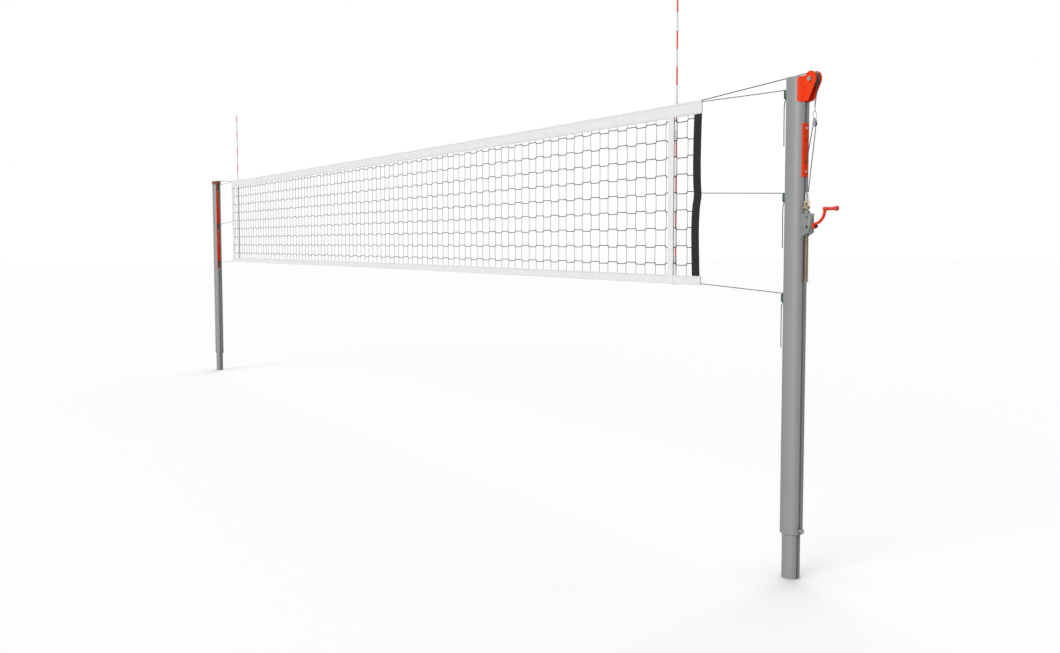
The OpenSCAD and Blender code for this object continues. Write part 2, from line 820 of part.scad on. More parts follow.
// One straight bevel tooth, for a gear whose axis is +Z
module bevel_tooth(cone) {
    rotate([0, cone, 0]) translate([0, 0, cone_in]) linear_extrude(cone_out - cone_in)
        polygon([[-tooth_down - tooth_sunk, -tooth_base / 2], [tooth_up, -tooth_tip / 2],
            [tooth_up, tooth_tip / 2], [-tooth_down - tooth_sunk, tooth_base / 2]]);
}

// A bevel gear with its apex at the origin and its axis +Z: teeth on a blank that ends at height back
module bevel_gear(cone, teeth, turn, bore, back) {
    a = cone_point(cone, cone_in, -tooth_down);
    b = cone_point(cone, cone_out, -tooth_down);
    rotate_extrude() polygon([[bore, a[1]], a, b, [b[0], back], [bore, back]]);
    for (k = [0:teeth - 1]) rotate([0, 0, turn + 360 * k / teeth]) bevel_tooth(cone);
}

nut_r = 13.2;
nut_len = 24;
nut_z = crank_z + cone_point(cone_wheel, cone_in, -tooth_down)[1];
nut_top = nut_z + nut_len;
chamber_r = 15.4;
ring_t = 4;
spindle_bore_r = spindle_r + slide_gap;
bush_r = shaft_r + 2.5;
bush_x = spindle_x + 17.5;
nose_x = spindle_x + 40;
hub_x = nose_x + 7;
hub_len = 14;
hub_r = 12;

module spindle() {
    tongue = spindle_r * 0.65;
    color(zinc) translate([spindle_x, 0, 0]) difference() {
        translate([0, 0, spindle_top - spindle_len]) cylinder(r = spindle_r, h = spindle_len);
        translate([0, 0, pin_z]) bar_y(shackle_pin_r, -20, 20);
        for (s = [-1, 1]) translate([s > 0 ? tongue : -20, -20, pin_z - 8]) cube([20 - tongue, 40, 30]);
    }
}

// Washer and nut that stop the spindle at the end of its travel
module spindle_stop() {
    color(zinc) translate([spindle_x, 0, spindle_top - spindle_len - 3]) {
        cylinder(r = spindle_r + 2.5, h = 3);
        translate([0, 0, -5]) cylinder(r = spindle_r - 2, h = 5, $fn = 6);
    }
}

// Housing outlines: from the side, and from above
nose_low = crank_z - 11;
nose_high = crank_z + 48;
nose_lean = 7;
housing_base = crank_z - 49;
housing_top = crank_z + 62;
function housing_side() = [[outer_w / 2 - 10, housing_base], [spindle_x - 9, housing_base + 1],
    [nose_x - 12, nose_low - 19], [nose_x - nose_lean, nose_low], [nose_x, nose_high],
    [nose_x - 11, housing_top], [outer_w / 2 - 10, housing_top]];
function housing_plan() = [[0, -20], [nose_x - 11, -20], [nose_x, -7.5], [nose_x, 7.5], [nose_x - 11, 20], [0, 20]];
nose_at_crank = nose_x - nose_lean * (nose_high - crank_z) / (nose_high - nose_low);

module gearbox_housing() {
    cut_z = gear_plate_z0 - 1;
    cut_h = gear_plate_z1 - gear_plate_z0 + 2;
    color(cast_grey) difference() {
        union() {
            intersection() {
                plate_xz(60) polygon(housing_side());
                translate([0, 0, cut_z]) linear_extrude(cut_h) polygon(housing_plan());
            }
            face_plate(gear_plate_t, gear_plate_w / 2, gear_plate_z0, gear_plate_z1 - gear_plate_z0);
            translate([0, 0, crank_z]) bar_x(bush_r + 3, nose_at_crank - 12, nose_at_crank + 6);
        }
        translate([0, 0, cut_z]) linear_extrude(cut_h) oval(outer_w, outer_d);
        translate([spindle_x, 0, cut_z]) cylinder(r = spindle_bore_r, h = cut_h);
        translate([spindle_x, 0, crank_z - 10]) cylinder(r = chamber_r, h = nut_top + ring_t + 0.2 - crank_z + 10);
        translate([spindle_x, -8.5, crank_z - 8.5]) cube([bush_x - 0.5 - spindle_x, 17, 17]);
        translate([0, 0, crank_z]) bar_x(bush_r, spindle_x, outer_w + 20);
        for (z = gearbox_screw_z) translate([0, 0, z]) {
            bar_x(screw_r, outer_w / 2 - 2, outer_w);
            bar_x(screw_head_r, outer_w / 2 + gear_plate_t - screw_head_t, outer_w);
        }
        translate([plug_x, -40, plug_z]) bar_y(plug_r, 0, 40 - plug_seat);
        translate([cover_screw_x, -40, cover_screw_z]) bar_y(1.5, 0, 40 - plug_seat);
    }
}

// Cap on the housing's top that guides the spindle
module gearbox_cap() {
    color(cast_grey) translate([spindle_x, 0, housing_top]) difference() {
        intersection() {
            cylinder(r = spindle_r + 4.5, h = 13);
            translate([outer_w / 2 + gear_plate_t - spindle_x, -30, 0]) cube([60, 60, 20]);
        }
        translate([0, 0, -1]) cylinder(r = spindle_bore_r, h = 20);
    }
}

// Plug and small screw in the housing's side
plug_x = spindle_x + 21;
plug_z = crank_z - 3;
plug_r = 7;
plug_seat = 15;
cover_screw_x = spindle_x + 21;
cover_screw_z = crank_z + 43;

module gearbox_plug() {
    color(dark) translate([plug_x, 0, plug_z]) difference() {
        bar_y(plug_r, -22, -plug_seat);
        translate([0, -23, 0]) rotate([-90, 0, 0]) cylinder(r = 4, h = 4, $fn = 6);
    }
    color(steel) translate([cover_screw_x, 0, cover_screw_z]) {
        bar_y(4, -22.5, -20);
        bar_y(1.5, -20, -plug_seat);
    }
}

module spindle_nut() {
    color("goldenrod") translate([spindle_x, 0, crank_z]) {
        bevel_gear(cone_wheel, wheel_teeth, 180 / wheel_teeth, spindle_r + run_gap, nut_top - crank_z);
    }
}

module thrust_ring() {
    color(steel) translate([spindle_x, 0, nut_top + 0.1]) difference() {
        cylinder(r = chamber_r - 0.1, h = ring_t);
        translate([0, 0, -1]) cylinder(r = spindle_bore_r, h = ring_t + 2);
    }
}

module shaft_bush() {
    color("goldenrod") translate([0, 0, crank_z]) difference() {
        bar_x(bush_r, bush_x, nose_at_crank + 6);
        bar_x(shaft_r + run_gap, 0, nose_x + 20);
    }
}

module crank_shaft() {
    back = cone_point(cone_pinion, cone_out, -tooth_down)[1] + 2;
    color(steel) translate([spindle_x, 0, crank_z]) {
        rotate([0, 90, 0]) bevel_gear(cone_pinion, pinion_teeth, 0, 0, back);
        bar_x(shaft_r, back - 0.5, hub_x + hub_len - spindle_x);
    }
}

// The crank's arm bends from its hub out and up to the grip
arm_x = hub_x + hub_len / 2;
grip_x = hub_x + 81;
arm_half = 5.5;
arm_t = 10;
arm_steps = 14;
arm_rise = 12;
bolt_flange_r = 8;

function arm_point(t, off) = let(
        w = grip_x - 6 - arm_x, h = crank_r - arm_rise,
        c = [arm_x + w * sin(90 * t), crank_z + arm_rise + h * (1 - cos(90 * t))],
        d = unit([w * cos(90 * t), h * sin(90 * t)]))
    c + off * [-d[1], d[0]];

module crank_arm() {
    outline = concat([for (i = [0:arm_steps]) arm_point(i / arm_steps, arm_half)],
        [for (i = [arm_steps:-1:0]) arm_point(i / arm_steps, -arm_half)]);
    color(orange) difference() {
        union() {
            translate([0, 0, crank_z]) bar_x(hub_r, hub_x, hub_x + hub_len);
            plate_xz(arm_t) polygon(outline);
            translate([0, 0, crank_z + crank_r]) bar_x(10, grip_x - 12, grip_x);
        }
        translate([0, 0, crank_z]) bar_x(shaft_r, 0, hub_x + hub_len + 1);
        translate([0, 0, crank_z]) bar_x(bolt_flange_r + slide_gap, hub_x + hub_len, grip_x);
        translate([0, 0, crank_z + crank_r]) bar_x(grip_pin_r, grip_x - 10, grip_x + 1);
    }
}

module crank_bolt() {
    color(dark) translate([0, 0, crank_z]) {
        bar_x(bolt_flange_r, hub_x + hub_len, hub_x + hub_len + 4);
        translate([hub_x + hub_len + 4, 0, 0]) rotate([0, 90, 0]) cylinder(r = bolt_flange_r - 1, h = 6, $fn = 6);
    }
}

module grip_pin() {
    color(steel) translate([0, 0, crank_z + crank_r]) bar_x(grip_pin_r, grip_x - 10, grip_x + grip_len - 12);
}

// Grip, thin at its waist, turning on the crank's pin
function grip_r(t) = 8.4 + 4.2 * pow(abs(1.6 * t - 0.7) / 0.9, 2);

module crank_grip() {
    n = 12;
    end_r = 4;
    profile = concat([[0, 0]], [for (i = [0:n]) [grip_r(i / n), i / n * (grip_len - end_r)]],
        [for (a = [15:15:90]) [grip_r(1) - end_r + end_r * cos(a), grip_len - end_r + end_r * sin(a)]],
        [[0, grip_len]]);
    color(orange) translate([grip_x + slide_gap, 0, crank_z + crank_r]) rotate([0, 90, 0]) difference() {
        rotate_extrude() polygon(profile);
        translate([0, 0, -1]) cylinder(r = grip_pin_r + run_gap, h = grip_len - 10);
    }
}

// ---------- net ----------

hem_r = cable_d / 2 + 0.3 + tape_t;
mesh_gap = 0.2;
tape_half = string_t / 2 + mesh_gap / 2 + tape_t;
top_tape_z = net_top - top_tape_h;
bottom_z = net_top - net_h;
bottom_tape_z = bottom_z + bottom_tape_h;

// The top tape is folded over the cable and sewn to both faces of the net
module top_tape() {
    color(tape_white) translate([net_x0, 0, net_top]) rotate([90, 0, 90]) linear_extrude(net_len) difference() {
        union() {
            circle(hem_r);
            translate([-tape_half, -top_tape_h]) square([2 * tape_half, top_tape_h]);
        }
        circle(cable_d / 2 + 0.3);
        translate([-tape_half + tape_t, -top_tape_h - 1]) square([2 * (tape_half - tape_t), top_tape_h + 1]);
    }
}

module bottom_tape() {
    color(tape_white) translate([net_x0, 0, bottom_z]) rotate([90, 0, 90]) linear_extrude(net_len) difference() {
        translate([-tape_half, 0]) square([2 * tape_half, bottom_tape_h]);
        translate([-tape_half + tape_t, tape_t]) square([2 * (tape_half - tape_t), bottom_tape_h]);
    }
}

module net_mesh() {
    lap = 20;
    x0 = net_x0 + strap_w / 2 + 12;
    x1 = net_x1 - strap_w / 2 - 12;
    z0 = bottom_tape_z - lap;
    z1 = top_tape_z + lap;
    dx = (x1 - x0 - string_t) / net_cols;
    dz = (z1 - z0 - string_t) / net_rows;
    color(string_grey) plate_xz(string_t) difference() {
        translate([x0, z0]) square([x1 - x0, z1 - z0]);
        for (i = [0:net_cols - 1], k = [0:net_rows - 1])
            translate([x0 + string_t + i * dx, z0 + string_t + k * dz]) square([dx - string_t, dz - string_t]);
    }
}

// Outline of the wavy strap at the net's near end, moved inwards by shift
function strap_edge(x, shift, n = 24) = [for (i = [0:n]) let(t = i / n)
    [x - shift - strap_wave * pow(sin(360 * t), 2), bottom_tape_z + t * (top_tape_z - bottom_tape_z)]];

module strap_outline(shift) {
    right = strap_edge(net_x1, shift);
    left = strap_edge(net_x1 - strap_w, shift);
    polygon(concat(right, [for (i = [len(left) - 1:-1:0]) left[i]]));
}

module strap() {
    difference() {
        plate_xz(2 * tape_half) strap_outline(0);
        plate_xz(2 * (tape_half - tape_t)) strap_outline(9);
    }
}

module near_strap() { color(strap_black) strap(); }
module far_strap() { color(tape_white) mirrored() strap(); }

band_x = mid_x + court_w / 2 - side_band_w / 2;
antenna_x = band_x + side_band_w / 2 + antenna_d / 2 + 1;
antenna_y = hem_r + antenna_d / 2 + 0.3;

// Side-line tape on both faces of the net, with two clips that hold the antenna
module side_band() {
    h = top_tape_z - bottom_tape_z;
    for (s = [-1, 1]) translate([band_x - side_band_w / 2, s > 0 ? string_t / 2 : -string_t / 2 - tape_t, bottom_tape_z])
        cube([side_band_w, tape_t, h]);
    for (z = [bottom_tape_z + 70, top_tape_z - 110]) translate([antenna_x, antenna_y, z]) difference() {
        union() {
            cylinder(r = antenna_d / 2 + 2.2, h = 40);
            translate([-22, string_t / 2 + tape_t - antenna_y, 0]) cube([22, 3, 40]);
            translate([-4, string_t / 2 + tape_t - antenna_y, 0]) cube([8, antenna_y - string_t / 2 - tape_t, 40]);
        }
        translate([0, 0, -1]) cylinder(r = antenna_d / 2 + 0.1, h = 42);
    }
}

module side_bands() {
    color(tape_white) {
        side_band();
        mirrored() side_band();
    }
}

module antenna() {
    translate([antenna_x, antenna_y, bottom_z]) cylinder(r = antenna_d / 2, h = antenna_len);
}

module antennas() {
    color(antenna_red) {
        antenna();
        mirrored() antenna();
    }
}

// ---------- green cords ----------

// A taut cord from the net's edge over its cleat's upper horn and down to the neck
module tie_cord(i) {
    cleat_c = [-horn_x, cleat_z[i] + horn_up];
    over_r = cleat_head_t / 2 + cord_d / 2 + slide_gap;
    start = [net_x1, tie_z[i]];
    over = touch_angle(cleat_c, over_r, start, -1);
    route = concat([start], arc_points(cleat_c, over_r, over, 0, 6),
        [[cleat_c[0] + over_r, cleat_z[i] + cleat_neck_h / 2 + cord_d / 2 + slide_gap]]);
    flat_tube(route, cord_d);
}

module tie_cords() {
    for (i = [0:2]) tie_cord(i);
}

module net_cords() {
    color(cord_green) {
        tie_cords();
        mirrored() tie_cords();
    }
}

// The spare end of each cord hangs below its cleat in one long loop. A point is [across, out, up]:
// across the loop, out from the cleat's head, and up from the cleat's middle.
tail_turn = 138;
tail_route = [[-5.5, 0, -20.4], [-5.8, -5, -36], [-6, -9, -60], [-6.8, -9, -160], [-8.4, -8, -228],
    [-5.9, -8, -243], [0, -8, -248], [5.9, -8, -243], [8.4, -8, -228], [6.8, -9, -160], [6, -9, -60],
    [5.8, -5, -36], [5.5, 0, -20.4]];

module cord_tail(z) {
    across = [cos(tail_turn), sin(tail_turn), 0];
    route = [for (q = tail_route) [-horn_x + q[1], 0, z + q[2]] + q[0] * across];
    tube(route, cord_d, flat = cross(across, [0, 0, 1]));
}

module cord_tail_row() {
    for (z = cleat_z) cord_tail(z);
}

module cord_tails() {
    color(cord_green) {
        cord_tail_row();
        mirrored() cord_tail_row();
    }
}

// ---------- far post's head and fittings ----------

module far_head_cap() {
    skirt_z = cleat_z[0] + cleat_h / 2 + 0.5;
    z1 = outer_top + cap_over;
    w = outer_w + 2 * cap_side;
    d = outer_d + 2 * cap_side;
    color([0.5, 0.2, 0.16]) at_far() difference() {
        union() {
            translate([0, 0, skirt_z]) linear_extrude(outer_top - skirt_z) difference() {
                oval(w, d);
                oval(outer_w, outer_d);
            }
            intersection() {
                translate([0, 0, outer_top]) linear_extrude(cap_over) oval(w, d);
                plate_xz(200) union() {
                    translate([-w / 2, outer_top - 40]) square([w, 40 + cap_over - cap_round]);
                    translate([-w / 2 + cap_round, outer_top - 40]) square([w - 2 * cap_round, 40 + cap_over]);
                    for (s = [-1, 1]) translate([s * (w / 2 - cap_round), z1 - cap_round]) circle(cap_round);
                }
            }
            translate([0, 0, hook_z]) bar_x(2 * hook_r, outer_w / 2, outer_w / 2 + cap_side);
            translate([0, 0, hook_z]) bar_x(hook_r, outer_w / 2 + cap_side - 1, outer_w / 2 + cap_side + 17);
            translate([0, 0, hook_z]) bar_x(hook_r + 4, outer_w / 2 + cap_side + 13, outer_w / 2 + cap_side + 17);
        }
        translate([-post_gap - loop_x, 0, loop_top - 2])
            cylinder(r = ferrule_r + slide_gap, h = saddle_c[1] - loop_top + 2);
    }
}

module far_fittings() {
    color(steel) at_far() rotate([0, 0, 180]) {
        for (z = net_screw_z) slot_screw(z, rail_t);
        for (z = net_screw_z) slot_nut(z);
    }
}
near_inner_post();
far_inner_post();
foot_plugs();
glide_collars();
near_outer_post();
near_lower_bush();
near_top_cap();
near_lock_knob();
pulley_head();
head_pulley();
pulley_bearing();
pulley_axle();
axle_nut();
hook_rail();
near_net_rail();
near_fittings();
near_cleats();
net_cable();
cable_end();
cable_drop();
cable_thimble();
tackle_block();
tackle_sheave();
sheave_pin();
rope_turn();
rope_fall_a();
rope_fall_b();
rope_stop();
rope_thimble();
shackle();
shackle_pin();
spindle();
spindle_stop();
gearbox_housing();
gearbox_cap();
gearbox_plug();
spindle_nut();
thrust_ring();
shaft_bush();
crank_shaft();
crank_arm();
crank_bolt();
grip_pin();
crank_grip();
net_mesh();
top_tape();
bottom_tape();
near_strap();
far_strap();
side_bands();
antennas();
net_cords();
cord_tails();
far_outer_post();
far_lower_bush();
far_head_cap();
far_net_rail();
far_fittings();
far_cleats();
far_lock_knob();
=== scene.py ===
"""The looks of a volleyball net on two telescopic posts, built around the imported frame.

Lengths are in metres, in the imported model's own frame: the origin is on the floor at the near
post's axis, the net runs along -X in the plane y = 0, and +Z is up.
"""

import json
import math

import bpy
import numpy as np
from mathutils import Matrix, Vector


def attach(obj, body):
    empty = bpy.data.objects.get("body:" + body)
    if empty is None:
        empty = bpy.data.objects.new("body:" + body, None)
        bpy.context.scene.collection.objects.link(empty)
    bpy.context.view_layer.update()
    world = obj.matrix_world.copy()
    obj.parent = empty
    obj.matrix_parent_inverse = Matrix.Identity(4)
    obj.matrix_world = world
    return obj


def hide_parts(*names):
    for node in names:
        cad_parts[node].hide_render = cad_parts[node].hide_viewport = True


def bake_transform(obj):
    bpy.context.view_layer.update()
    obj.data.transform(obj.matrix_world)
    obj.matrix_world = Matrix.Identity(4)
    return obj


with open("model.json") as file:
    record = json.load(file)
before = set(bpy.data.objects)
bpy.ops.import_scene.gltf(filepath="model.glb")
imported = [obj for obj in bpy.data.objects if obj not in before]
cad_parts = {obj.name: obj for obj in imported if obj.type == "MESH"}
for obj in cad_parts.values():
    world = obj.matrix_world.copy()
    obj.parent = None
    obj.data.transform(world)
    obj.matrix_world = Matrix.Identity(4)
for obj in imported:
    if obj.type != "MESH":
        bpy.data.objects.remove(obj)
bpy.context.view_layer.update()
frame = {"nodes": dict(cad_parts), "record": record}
NODES = frame["nodes"]
MM = 0.001

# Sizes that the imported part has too
POST_GAP = 11.0
NET_END = -0.750
NET_FAR = -10.250
NET_TOP = 2.430
NET_BOTTOM = 1.430
TOP_EDGE = 2.360
LOW_EDGE = 1.480
TAPE_T = 1.5 * MM
TAPE_HALF = 3.1 * MM
HEM_R = 4.3 * MM
CABLE_D = 5 * MM
ROPE_D = 4.5 * MM
CORD_D = 4.4 * MM
CLEAT_Z = (2.391, 1.888, 1.393)
TIE_Z = (2.428, 1.936, 1.443)
HORN_X = -0.087
HORN_UP = 0.016
HORN_R = 0.004
NECK_HALF = (0.0085, 0.012)
ANTENNA_TOP = 3.23
FIRST_STRIPE = 1.4445
STRIPE = 0.1


# ---------- camera ----------


def add_camera():
    data = bpy.data.cameras.new("camera")
    data.lens, data.sensor_width = 39.5885, 36
    data.clip_start, data.clip_end = 0.05, 300
    camera = bpy.data.objects.new("camera", data)
    camera.location = (4.3507, -3.9411, 1.665)
    camera.rotation_euler = (math.radians(90 - 4.0911), math.radians(0.0357), math.radians(60.6302))
    bpy.context.scene.collection.objects.link(camera)
    bpy.context.scene.camera = camera


add_camera()


# ---------- materials ----------


def rgb(r, g, b):
    """A colour written as it shows on screen, from 0 to 255, as Blender's linear colour."""
    shown = (r / 255, g / 255, b / 255)
    linear = [c / 12.92 if c <= 0.04045 else ((c + 0.055) / 1.055) ** 2.4 for c in shown]
    return (*linear, 1.0)


class Paint:
    """A procedural material. Each call adds one node and returns its first output."""

    def __init__(self, name, rough=0.5, metal=0.0, **sockets):
        self.material = bpy.data.materials.new(name)
        self.material.use_nodes = True
        self.tree = self.material.node_tree
        self.shader = self.tree.nodes["Principled BSDF"]
        self.shader.inputs["Roughness"].default_value = rough
        self.shader.inputs["Metallic"].default_value = metal
        for key, value in sockets.items():
            self.shader.inputs[key.replace("_", " ")].default_value = value

    def node(self, kind, values, **props):
        made = self.tree.nodes.new(kind)
        for key, value in props.items():
            setattr(made, key, value)
        for key, value in values.items():
            if isinstance(value, bpy.types.NodeSocket):
                self.tree.links.new(value, made.inputs[key])
            else:
                made.inputs[key].default_value = value
        return made

    def coords(self, kind="Object", scale=(1, 1, 1)):
        source = self.node("ShaderNodeTexCoord", {}).outputs[kind]
        return self.node("ShaderNodeMapping", {"Vector": source, "Scale": scale}).outputs[0]

    def noise(self, vector, scale, detail=2.0, rough=0.5):
        values = {"Vector": vector, "Scale": scale, "Detail": detail, "Roughness": rough}
        return self.node("ShaderNodeTexNoise", values).outputs[0]

    def math(self, operation, a, b=0.0, c=0.0):
        return self.node("ShaderNodeMath", {0: a, 1: b, 2: c}, operation=operation).outputs[0]

    def split(self, vector):
        return self.node("ShaderNodeSeparateXYZ", {0: vector}).outputs

    def ramp(self, value, low, high, a, b):
        """Turns value from low..high into a..b."""
        values = {0: value, 1: low, 2: high, 3: a, 4: b}
        return self.node("ShaderNodeMapRange", values).outputs[0]

    def mix(self, factor, a, b):
        made = self.node("ShaderNodeMix", {0: factor, 6: a, 7: b}, data_type="RGBA")
        return made.outputs[2]

    def grey(self, value):
        return self.node("ShaderNodeCombineColor", {0: value, 1: value, 2: value}).outputs[0]

    def colour(self, socket):
        self.link(socket, "Base Color")

    def link(self, socket, name):
        self.tree.links.new(socket, self.shader.inputs[name])

    def bump(self, height, distance, strength=1.0):
        values = {"Height": height, "Distance": distance, "Strength": strength}
        self.link(self.node("ShaderNodeBump", values).outputs[0], "Normal")


def brushed(name, dark, light, rough=0.42, metal=0.75, along=(900, 900, 5)):
    """Extruded or drawn metal with fine lines along one axis."""
    p = Paint(name, rough, metal, Specular_IOR_Level=0.3)
    lines = p.noise(p.coords(scale=along), 1.0, 3.0, 0.6)
    cloud = p.noise(p.coords(), 3.0, 2.0)
    p.colour(p.mix(p.math("MULTIPLY_ADD", lines, 0.6, p.math("MULTIPLY", cloud, 0.4)), dark, light))
    p.link(p.ramp(lines, 0.3, 0.7, rough - 0.07, rough + 0.09), "Roughness")
    p.bump(lines, 0.00006)
    return p.material


def powder_coat(name, colour, shade, rough=0.42, coat=0.03):
    """Sprayed powder coat with a fine peel and faint clouds."""
    p = Paint(name, rough, Coat_Weight=coat, Coat_Roughness=0.25, Specular_IOR_Level=0.12)
    where = p.coords()
    peel = p.noise(where, 900.0, 2.0)
    cloud = p.noise(where, 9.0, 3.0)
    p.colour(p.mix(p.ramp(cloud, 0.35, 0.7, 0.0, 0.5), colour, shade))
    p.link(p.ramp(cloud, 0.3, 0.7, rough - 0.05, rough + 0.08), "Roughness")
    p.bump(peel, 0.00012)
    return p.material


def moulded(name, colour, shade, rough=0.5):
    """Moulded plastic with a fine spark-eroded grain."""
    p = Paint(name, rough)
    where = p.coords()
    grain = p.noise(where, 1600.0, 3.0, 0.7)
    cloud = p.noise(where, 30.0, 2.0)
    p.colour(p.mix(p.ramp(cloud, 0.35, 0.65, 0.0, 1.0), colour, shade))
    p.link(p.ramp(grain, 0.3, 0.7, rough - 0.08, rough + 0.08), "Roughness")
    p.bump(grain, 0.00010)
    return p.material


def plated(name, dark, light, rough=0.32, metal=0.9):
    """Zinc plating with small spangles and handling marks."""
    p = Paint(name, rough, metal)
    where = p.coords()
    cells = p.node("ShaderNodeTexVoronoi", {"Vector": where, "Scale": 420.0}).outputs["Color"]
    cloud = p.noise(where, 60.0, 4.0, 0.6)
    spots = p.split(cells)[0]
    p.colour(p.mix(p.math("MULTIPLY_ADD", spots, 0.35, p.math("MULTIPLY", cloud, 0.65)), dark, light))
    p.link(p.ramp(cloud, 0.3, 0.7, rough - 0.08, rough + 0.14), "Roughness")
    p.bump(cloud, 0.00005)
    return p.material


def cast(name, dark, light, rough=0.55):
    """Sand-cast and painted metal."""
    p = Paint(name, rough, 0.25)
    where = p.coords()
    sand = p.noise(where, 700.0, 4.0, 0.7)
    cloud = p.noise(where, 35.0, 3.0)
    p.colour(p.mix(p.ramp(cloud, 0.3, 0.7, 0.0, 1.0), dark, light))
    p.bump(sand, 0.00030)
    return p.material


def braided(name, dark, light, around=6.0, pitch=0.007, depth=0.00025, rough=0.75):
    """Braid on a tube whose UV runs once around and along in metres."""
    p = Paint(name, rough, Specular_IOR_Level=0.2)
    uv = p.split(p.coords("UV"))
    turn = p.math("MULTIPLY", uv[0], 2 * math.pi * around)
    along = p.math("MULTIPLY", uv[1], 2 * math.pi / pitch)
    one = p.math("SINE", p.math("ADD", turn, along))
    two = p.math("SINE", p.math("SUBTRACT", turn, along))
    height = p.math("MAXIMUM", one, two)
    # Darker in the grooves between the strands and lighter on the crests: painted shade in the grooves
    p.colour(p.mix(p.ramp(height, -0.2, 1.0, 0.0, 1.0), dark, light))
    p.bump(height, depth)
    return p.material


def cloth(name, colour, shade, rows=(), weave=0.0009, depth=0.00010, rough=0.7, ribs=0.0, thread=None):
    """Woven cloth on a strip whose UV is in metres, along and across. rows are the distances of the
    seams from the strip's edge, and each seam is a row of stitches."""
    p = Paint(name, rough, Specular_IOR_Level=0.25)
    uv = p.split(p.coords("UV"))
    warp = p.math("SINE", p.math("MULTIPLY", uv[0], 2 * math.pi / weave))
    weft = p.math("SINE", p.math("MULTIPLY", uv[1], 2 * math.pi / weave))
    height = p.math("MULTIPLY", warp, weft)
    if ribs:
        rib = p.math("SINE", p.math("MULTIPLY", uv[1], 2 * math.pi / ribs))
        height = p.math("MULTIPLY_ADD", rib, 1.6, height)
    cloud = p.noise(p.coords(), 14.0, 3.0)
    fine = p.ramp(height, -1.0, 1.0, 0.0, 0.45)
    base = p.mix(p.math("ADD", fine, p.ramp(cloud, 0.35, 0.7, 0.0, 0.5)), colour, shade)
    seam = 0.0
    for row in rows:
        off = p.math("ABSOLUTE", p.math("SUBTRACT", uv[1], row))
        seam = p.math("MAXIMUM", p.math("LESS_THAN", off, 0.00055), seam)
    if rows:
        gap = p.math("LESS_THAN", p.math("FRACT", p.math("MULTIPLY", uv[0], 250.0)), 0.72)
        stitch = p.math("MULTIPLY", seam, gap)
        height = p.math("MULTIPLY_ADD", stitch, 4.0, height)
        base = p.mix(stitch, base, thread or shade)
    p.colour(base)
    p.bump(height, depth)
    return p.material


def striped(name, red, pale, start, step):
    """Rod with stripes of one length, red from start upwards, over fine glass fibres."""
    p = Paint(name, 0.38, Coat_Weight=0.3, Coat_Roughness=0.2)
    where = p.coords()
    height = p.math("DIVIDE", p.math("SUBTRACT", p.split(where)[2], start), step * 2)
    is_red = p.math("LESS_THAN", p.math("FRACT", p.math("ADD", height, 100.0)), 0.5)
    is_red = p.math("MULTIPLY", is_red, p.math("GREATER_THAN", height, -0.5))
    fibre = p.noise(p.coords(scale=(2500, 2500, 40)), 1.0, 2.0)
    tone = p.ramp(fibre, 0.3, 0.7, 0.86, 1.0)
    base = p.mix(is_red, pale, red)
    values = {0: 1.0, 6: base, 7: p.grey(tone)}
    shade = p.node("ShaderNodeMix", values, data_type="RGBA", blend_type="MULTIPLY")
    p.colour(shade.outputs[2])
    p.bump(fibre, 0.00004)
    return p.material


WHITE_THREAD = rgb(206, 206, 204)
BLACK_THREAD = rgb(64, 64, 64)
WEBBING = {"rows": (0.004, 0.061), "weave": 0.0012, "depth": 0.00016, "rough": 0.72, "ribs": 0.0026}
STRING_BRAID = {"around": 3.0, "pitch": 0.0045, "depth": 0.00018}

LOOKS = {
    "aluminium": brushed("anodised_aluminium", rgb(138, 139, 139), rgb(152, 153, 153), 0.5, 0.2),
    "black_plastic": moulded("black_nylon", rgb(30, 30, 31), rgb(44, 44, 45), 0.5),
    "pulley_plastic": moulded("grey_nylon", rgb(70, 71, 72), rgb(90, 91, 92), 0.42),
    "steel": plated("zinc_plate", rgb(150, 152, 154), rgb(196, 197, 198)),
    "dark_steel": plated("black_oxide", rgb(52, 42, 40), rgb(82, 68, 64), 0.45, 0.7),
    "cable": plated("cable_wire", rgb(48, 46, 50), rgb(84, 82, 86), 0.42, 0.6),
    "rope": plated("rope_wire", rgb(54, 54, 57), rgb(92, 92, 95), 0.4, 0.6),
    "orange_paint": powder_coat("orange_coat", rgb(234, 62, 16), rgb(224, 56, 12)),
    "red_paint": powder_coat("red_coat", rgb(212, 44, 6), rgb(198, 38, 4)),
    "crank_red": powder_coat("crank_coat", rgb(236, 60, 20), rgb(224, 52, 15)),
    "grip_red": moulded("grip_plastic", rgb(216, 54, 14), rgb(202, 46, 10), 0.34),
    "brown_paint": powder_coat("brown_coat", rgb(140, 84, 74), rgb(120, 70, 62), 0.42, 0.1),
    "yellow_zinc": plated("yellow_zinc", rgb(176, 152, 110), rgb(222, 206, 168), 0.3),
    "spindle_steel": plated("spindle_steel", rgb(122, 108, 92), rgb(168, 150, 128), 0.36, 0.8),
    "cast_housing": cast("cast_coat", rgb(128, 133, 131), rgb(142, 147, 145)),
    "bronze": plated("bronze", rgb(168, 124, 66), rgb(204, 160, 96), 0.35),
    # The rows' twine is painted dark, as shade. The uprights take a lighter copy of the same twine.
    "netting": braided("net_string", rgb(8, 8, 9), rgb(28, 28, 29), **STRING_BRAID),
    "white_tape": cloth(
        "white_tape", rgb(232, 232, 232), rgb(222, 222, 222), (0.004, 0.008, 0.062), thread=WHITE_THREAD
    ),
    "black_strap": cloth("black_webbing", rgb(22, 22, 23), rgb(34, 34, 35), thread=BLACK_THREAD, **WEBBING),
    "antenna_rod": striped(
        "striped_rod", rgb(226, 66, 40), rgb(214, 220, 220), FIRST_STRIPE + STRIPE, STRIPE
    ),
    "green_cord": braided("green_braid", rgb(40, 80, 56), rgb(80, 124, 98)),
}
# The same twine as the rows, painted lighter for the light that falls on the uprights
UPRIGHT_PAINTED_LIT = braided("net_string_upright_painted_lit", rgb(104, 104, 105), rgb(150, 150, 151), **STRING_BRAID)
BAND = cloth("band_cloth", rgb(234, 234, 234), rgb(224, 224, 224), (0.003, 0.047), thread=WHITE_THREAD)
